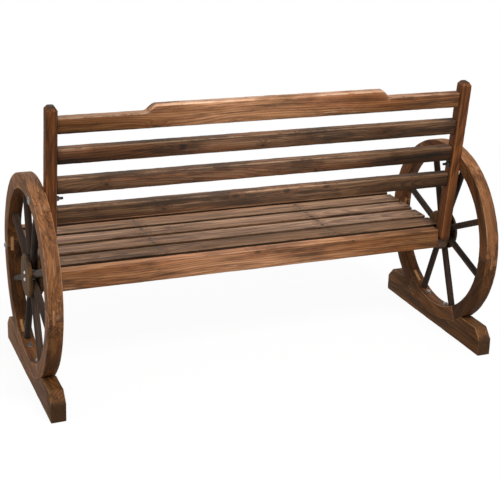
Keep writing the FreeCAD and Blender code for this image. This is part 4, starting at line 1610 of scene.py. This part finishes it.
@dataclass
class Back:
    """Two leaning posts with the crest rail and three slats between them."""

    workshop: Workshop
    lean: float = math.radians(6.3)
    foot_y: float = 0.12445
    foot_z: float = 0.3484
    half_length: float = 0.63
    inset: float = 0.0097
    thickness: float = 0.029
    slat_height: float = 0.047
    pitch: float = 0.089
    slats: int = 3
    crest_place: float = 0.42051
    crest_height: float = 0.0685
    crest_middle: float = 0.358
    crest_step: float = 0.025
    crest_lead: float = 0.01
    crest_cuts: int = 14
    crest_curve: float = 1.4
    # Share of wear and of painted light from above on the crest rail's top
    crest_wear: float = 0.5
    rounding: float = 0.0042
    post_width: float = 0.032
    post_depth: float = 0.041
    post_over: float = 0.0345
    post_below: float = 0.036
    post_bevel: float = 0.007
    post_bevel_depth: float = 0.0105
    post_soot: float = 0.015
    end_rounding: float = 0.0016
    low_dark: float = 0.42

    def place(self) -> Matrix:
        """Place of the leaning back: its Z runs up the posts from the seat's height."""
        return (Matrix.Translation((0, self.foot_y, self.foot_z))
                @ Matrix.Rotation(-self.lean, 4, "X"))

    def board_shade(self, low: Vector, high: Vector, streaks: Sequence[Streak]) -> Shade:
        """Give the shade of a board that is paler above and darker below, with streaks.

        Args:
            low: Lowest corner of its block.
            high: Highest corner of its block.
            streaks: The board's streaks.

        Returns:
            The shade.
        """

        def shade(place: Vector, normal: Vector) -> float:
            """Go from dark at the lower edge to pale at the upper one, and add the streaks."""
            base = self.low_dark * (2 * smooth_step(low.z, high.z, place.z) - 1)
            return base + sum(streak.at(place.x, place.z - low.z) for streak in streaks)

        return shade

    def crest_rise(self, spot: Vector) -> float:
        """Give how far a point of the crest rail's plain board rises to the raised middle.

        Args:
            spot: The point.

        Returns:
            The rise, with a soft step on the right and a hollow one on the left.
        """
        end = self.crest_middle + self.crest_step
        if spot.x < 0:
            share = 1 - clamp(1 + (-spot.x - end) / self.crest_step) ** self.crest_curve
        else:
            share = 1 - smooth_step(self.crest_middle - self.crest_lead, end, spot.x)
        low = self.crest_place + 2 * self.rounding
        high = self.crest_place + self.slat_height - 2 * self.rounding
        return share * clamp((spot.z - low) / (high - low)) * (self.crest_height - self.slat_height)

    def raise_crest(self, piece: bpy.types.Object) -> None:
        """Raise the middle of the crest rail's board.

        Args:
            piece: The board.
        """
        step = (self.crest_step + self.crest_lead) / self.crest_cuts
        places = [self.crest_middle - self.crest_lead + step * i
                  for i in range(self.crest_cuts + 1)]
        cut_at(piece, Axis.X, places + [-place for place in places])
        lift(piece, self.crest_rise)

    def build_boards(self) -> None:
        """Build the crest rail and the back slats."""
        board = Board(self.rounding)
        for number in range(self.slats + 1):
            crest = number == 0
            node = "crest_rail" if crest else "back_slat_%d" % number
            bottom = self.crest_place - number * self.pitch
            low = Vector((-self.half_length, -self.inset - self.thickness, bottom))
            high = Vector((self.half_length, -self.inset, bottom + self.slat_height))
            piece = board.build("board_" + node, low, high, Axis.X)
            if crest:
                self.raise_crest(piece)
            shade = self.board_shade(low, high, STREAKS.get(node, ()))
            # The crest rail's top is made paler, as wear and as painted light from above
            self.workshop.mark(piece, centred(low, high, Axis.X), shade, KNOTS[node],
                               worn_and_lit_top=self.crest_wear if crest else 0.0)
            piece.data.transform(self.place())
            self.workshop.finish(piece, FRAME_WOOD if crest else BACK_SLAT_WOOD, node)

    def chamfer_post(self, piece: bpy.types.Object, low: Vector, high: Vector) -> None:
        """Chamfer both ends of a post.

        Args:
            piece: The post.
            low: Lowest corner of its block.
            high: Highest corner of its block.
        """
        middle = (low + high) / 2
        cut_at(piece, Axis.Z, [low.z + self.post_bevel_depth, high.z - self.post_bevel_depth])
        with editing(piece):
            for end in (low.z, high.z):
                pick(piece, Part.VERTS, lambda vertex, end=end: abs(vertex.co.z - end) < SAME)
                bpy.ops.transform.resize(
                    value=(1 - 2 * self.post_bevel / self.post_width,
                           1 - 2 * self.post_bevel / self.post_depth, 1),
                    center_override=(middle.x, middle.y, end))

    def round_post(self, piece: bpy.types.Object) -> None:
        """Round the corners of a post, and the edges of its ends a little.

        Args:
            piece: The post.
        """

        def up_corner(edge: bmesh.types.BMEdge) -> bool:
            """Whether an edge climbs along a corner between two side faces."""
            climb = abs(edge.verts[1].co.z - edge.verts[0].co.z)
            return climb > edge.calc_length() / 2 and edge.calc_face_angle(0.0) > math.radians(45)

        def round_end(edge: bmesh.types.BMEdge) -> bool:
            """Whether a sharp edge is level."""
            climb = abs(edge.verts[1].co.z - edge.verts[0].co.z)
            return climb < SAME and edge.calc_face_angle(0.0) > math.radians(25)

        with editing(piece, Part.EDGES):
            pick(piece, Part.EDGES, up_corner)
            bevel(self.rounding)
            pick(piece, Part.EDGES, round_end)
            bevel(self.end_rounding, 2)

    def build_posts(self) -> None:
        """Build the two posts."""
        above = self.crest_place + self.slat_height + self.post_over
        for side in Side:
            start = side.choose(-self.half_length - self.post_width, self.half_length)
            low = Vector((start, -self.post_depth, -self.post_below))
            high = Vector((start + self.post_width, 0, above))
            node = "post_" + side.label()
            piece = block("bar_" + node, low, high)
            self.chamfer_post(piece, low, high)
            self.round_post(piece)
            for axis, spacing, shortest in ((Axis.Z, 0.014, 0.1), (Axis.X, 0.008, 0.008),
                                            (Axis.Y, 0.01, 0.01)):
                divide(piece, axis, spacing, shortest)
            self.workshop.mark(piece, centred(low, high, Axis.Z), soot_reach=self.post_soot)
            piece.data.transform(self.place())
            self.workshop.finish(piece, POST_WOOD, node)

    def build(self) -> None:
        """Build posts, crest rail and slats."""
        self.build_posts()
        self.build_boards()


@dataclass
class Seat:
    """The seat's frame and its slats, each between the corners of its solid."""

    workshop: Workshop
    rounding: float = 0.0025
    support_rounding: float = 0.002
    slats: int = 4
    screw_x: tuple[float, ...] = (-0.646, -0.287, 0.287, 0.646)
    screw_offset: float = 0.02
    gap_start: float = -0.32
    gap_end: float = 0.09
    # Painted shade on the faces that look into the gaps between the slats and on the undersides
    gap_dark: float = 2.9
    gap_side: float = 0.35
    gap_below: float = 0.2
    rail_wear: float = 0.45
    # Share of wear and of painted light from above on the rails' tops
    rail_top_wear: float = 0.05
    rail_top_dark: float = 0.3
    stain_size: float = 0.0062
    recess_radius: float = 0.0043
    recess_depth: float = 0.0026

    def build_board(self, node: str, look: WoodFinish, grain: Axis = Axis.X) -> bpy.types.Object:
        """Build and dress one board where its solid is.

        Args:
            node: The node of the frame that it replaces.
            look: The finish that it gets.
            grain: Axis along which its grain runs.

        Returns:
            The board.
        """
        low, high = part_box(node)
        rail = look is FRAME_WOOD
        rounding = self.rounding if grain is Axis.X else self.support_rounding
        piece = Board(rounding).build("board_" + node, low, high, grain)
        knots = KNOTS.get(node, ())
        # Each screw of a slat gets a small dark ring, drawn as a knot
        if node.startswith("seat_slat"):
            knots += tuple(Knot(x, y, self.stain_size, Axis.Z) for x, y in self.screws(low, high))
        # The shade given here paints shade into the gaps between the slats and under them
        self.workshop.mark(piece, centred(low, high, grain), self.side_shade, knots,
                           # The rails' tops get a little wear and painted light from above
                           worn_and_lit_top=self.rail_top_wear if rail else 0.0,
                           wear=self.rail_wear if rail else 1.0)
        self.workshop.finish(piece, look, node)
        return piece

    def screws(self, low: Vector, high: Vector) -> list[tuple[float, float]]:
        """X and Y of the screws of the slat between two corners."""
        return [(x, (low.y + high.y) / 2 + shift)
                for x in self.screw_x for shift in (-self.screw_offset, self.screw_offset)]

    def side_shade(self, place: Vector, normal: Vector) -> float:
        """Paint shade on the faces in the gaps between the slats and on the undersides, and darken
        the rails' tops.

        Args:
            place: A place on a board.
            normal: The normal there.

        Returns:
            The tone.
        """
        # Painted shade in the gaps and under the boards
        if self.gap_start < place.y < self.gap_end:
            gap_shade_share = max(abs(normal.y) - self.gap_side, -normal.z - self.gap_below, 0.0)
            return -self.gap_dark * gap_shade_share
        return -self.rail_top_dark * max(normal.z, 0.0)

    def sink_screws(self, piece: bpy.types.Object, node: str) -> None:
        """Cut the recesses of a slat's screws into its top.

        Args:
            piece: The slat.
            node: The node of the frame that it replaces.
        """
        low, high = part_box(node)
        drills = [cylinder("drill", self.recess_radius, 4 * self.recess_depth,
                           (x, y, high.z + self.recess_depth)) for x, y in self.screws(low, high)]
        for drill in drills:
            drill.select_set(True)
        bpy.ops.object.join()
        drill = bpy.context.active_object
        select_only(piece)
        change = piece.modifiers.new("Recesses", "BOOLEAN")
        change.operation = "DIFFERENCE"
        change.solver = "EXACT"
        change.object = drill
        bpy.ops.object.modifier_apply(modifier=change.name)
        bpy.data.objects.remove(drill)

    def build(self) -> None:
        """Build rails, supports and slats."""
        for node in ("front_rail", "rear_rail"):
            self.build_board(node, FRAME_WOOD)
        for side in Side:
            self.build_board("cross_support_" + side.label(), SEAT_SLAT_WOOD, Axis.Y)
        for number in range(self.slats):
            node = "seat_slat_%d" % (number + 1)
            self.sink_screws(self.build_board(node, SEAT_SLAT_WOOD), node)


@dataclass(frozen=True)
class Lamp:
    """A soft square lamp that faces the bench."""

    name: str
    place: Triple
    size: float
    power: float
    aim: Triple = (0.0, 0.0, 0.4)

    def build(self) -> None:
        """Hang the lamp."""
        lamp = bpy.data.lights.new(self.name, "AREA")
        lamp.shape = "SQUARE"
        lamp.size = self.size
        lamp.energy = self.power
        turn = (Vector(self.aim) - Vector(self.place)).to_track_quat("-Z", "Y")
        set_out(self.name, lamp, Matrix.Translation(self.place) @ turn.to_matrix().to_4x4())


@dataclass(frozen=True)
class Studio:
    """Camera, lamps, world and floor."""

    position: Triple = (1.3478, 3.2792, 1.6070)
    azimuth: float = 0.399613
    elevation: float = 0.303092
    roll: float = 0.032674
    focal_pixels: float = 1203.3015
    centre_pixels: tuple[float, float] = (259.196, 193.2467)
    frame_pixels: float = 500.0
    sensor: float = 36.0
    clip: Range = (0.05, 60.0)
    sky: Triple = (1.0, 0.99, 0.975)
    sky_strength: float = 0.5
    floor_size: float = 40.0
    floor_colour: Triple = (0.26, 0.255, 0.25)
    shadow_range: Range = (1.0, 3.0)
    shadow_least: float = 0.93
    lamps: tuple[Lamp, ...] = (
        Lamp("Key", (-0.6, 3.4, 4.8), 1.8, 230.0),
        Lamp("Fill", (3.4, 2.4, 2.2), 3.0, 35.0),
        Lamp("Front", (0.5, -4.0, 3.2), 3.0, 60.0))

    def build_camera(self) -> None:
        """Build the camera at the photograph's viewing angle."""
        back = Vector((math.sin(self.azimuth) * math.cos(self.elevation),
                       math.cos(self.azimuth) * math.cos(self.elevation),
                       math.sin(self.elevation)))
        level = (-back).cross(Vector((0, 0, 1))).normalized()
        upward = level.cross(-back)
        right = math.cos(self.roll) * level + math.sin(self.roll) * upward
        top = -math.sin(self.roll) * level + math.cos(self.roll) * upward
        lens = bpy.data.cameras.new("Camera")
        lens.sensor_width = self.sensor
        lens.lens = self.focal_pixels / self.frame_pixels * self.sensor
        half = self.frame_pixels / 2
        lens.shift_x = (half - self.centre_pixels[0]) / self.frame_pixels
        lens.shift_y = (self.centre_pixels[1] - half) / self.frame_pixels
        lens.clip_start, lens.clip_end = self.clip
        turn = Matrix((right, top, back)).transposed().to_4x4()
        bpy.context.scene.camera = set_out(
            "Camera", lens, Matrix.Translation(self.position) @ turn)

    def build_world(self) -> None:
        """Light the scene evenly and show a white background."""
        world = bpy.data.worlds.new("Studio")
        nodes = Shaders.of(world)
        light = nodes.add("ShaderNodeBackground", {"Color": opaque(self.sky),
                                                   "Strength": self.sky_strength})
        backdrop = nodes.add("ShaderNodeBackground", {"Color": WHITE, "Strength": 1.0})
        nodes.blend(nodes.seen(), light, backdrop, "ShaderNodeOutputWorld")
        bpy.context.scene.world = world

    def build_floor(self) -> None:
        """Lay a plain pale floor that keeps the bench's shadow."""
        bpy.ops.object.select_all(action="DESELECT")
        bpy.ops.mesh.primitive_plane_add(size=self.floor_size)
        floor = just_added("floor")
        material = bpy.data.materials.new("Pale floor")
        nodes = Shaders.of(material)
        seen = nodes.seen()
        ground = nodes.add("ShaderNodeBsdfDiffuse", {
            "Color": nodes.mix(seen, opaque(self.floor_colour), WHITE)})
        glow = nodes.add("ShaderNodeEmission", {"Color": WHITE, "Strength": 1.0})
        away = nodes.vector("LENGTH", nodes.add("ShaderNodeTexCoord").outputs["Object"])
        share = nodes.fade(away, *self.shadow_range, self.shadow_least)
        nodes.blend(nodes.math("MULTIPLY", seen, share), ground, glow)
        floor.data.materials.append(material)

    def build(self) -> None:
        """Build camera, lamps, world and floor."""
        self.build_camera()
        self.build_world()
        self.build_floor()
        for lamp in self.lamps:
            lamp.build()
        bpy.context.scene.view_settings.view_transform = "Standard"


def main() -> None:
    """Build the bench around the frame."""
    logging.basicConfig(level=logging.INFO, format="%(name)s: %(message)s")
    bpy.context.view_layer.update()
    Studio().build()
    workshop = Workshop()
    wheel = Wheel(workshop)
    wheel.build()
    Foot(workshop, wheel).build()
    Back(workshop).build()
    Seat(workshop).build()
    workshop.dress_kept()


if __name__ == "__main__":
    main()
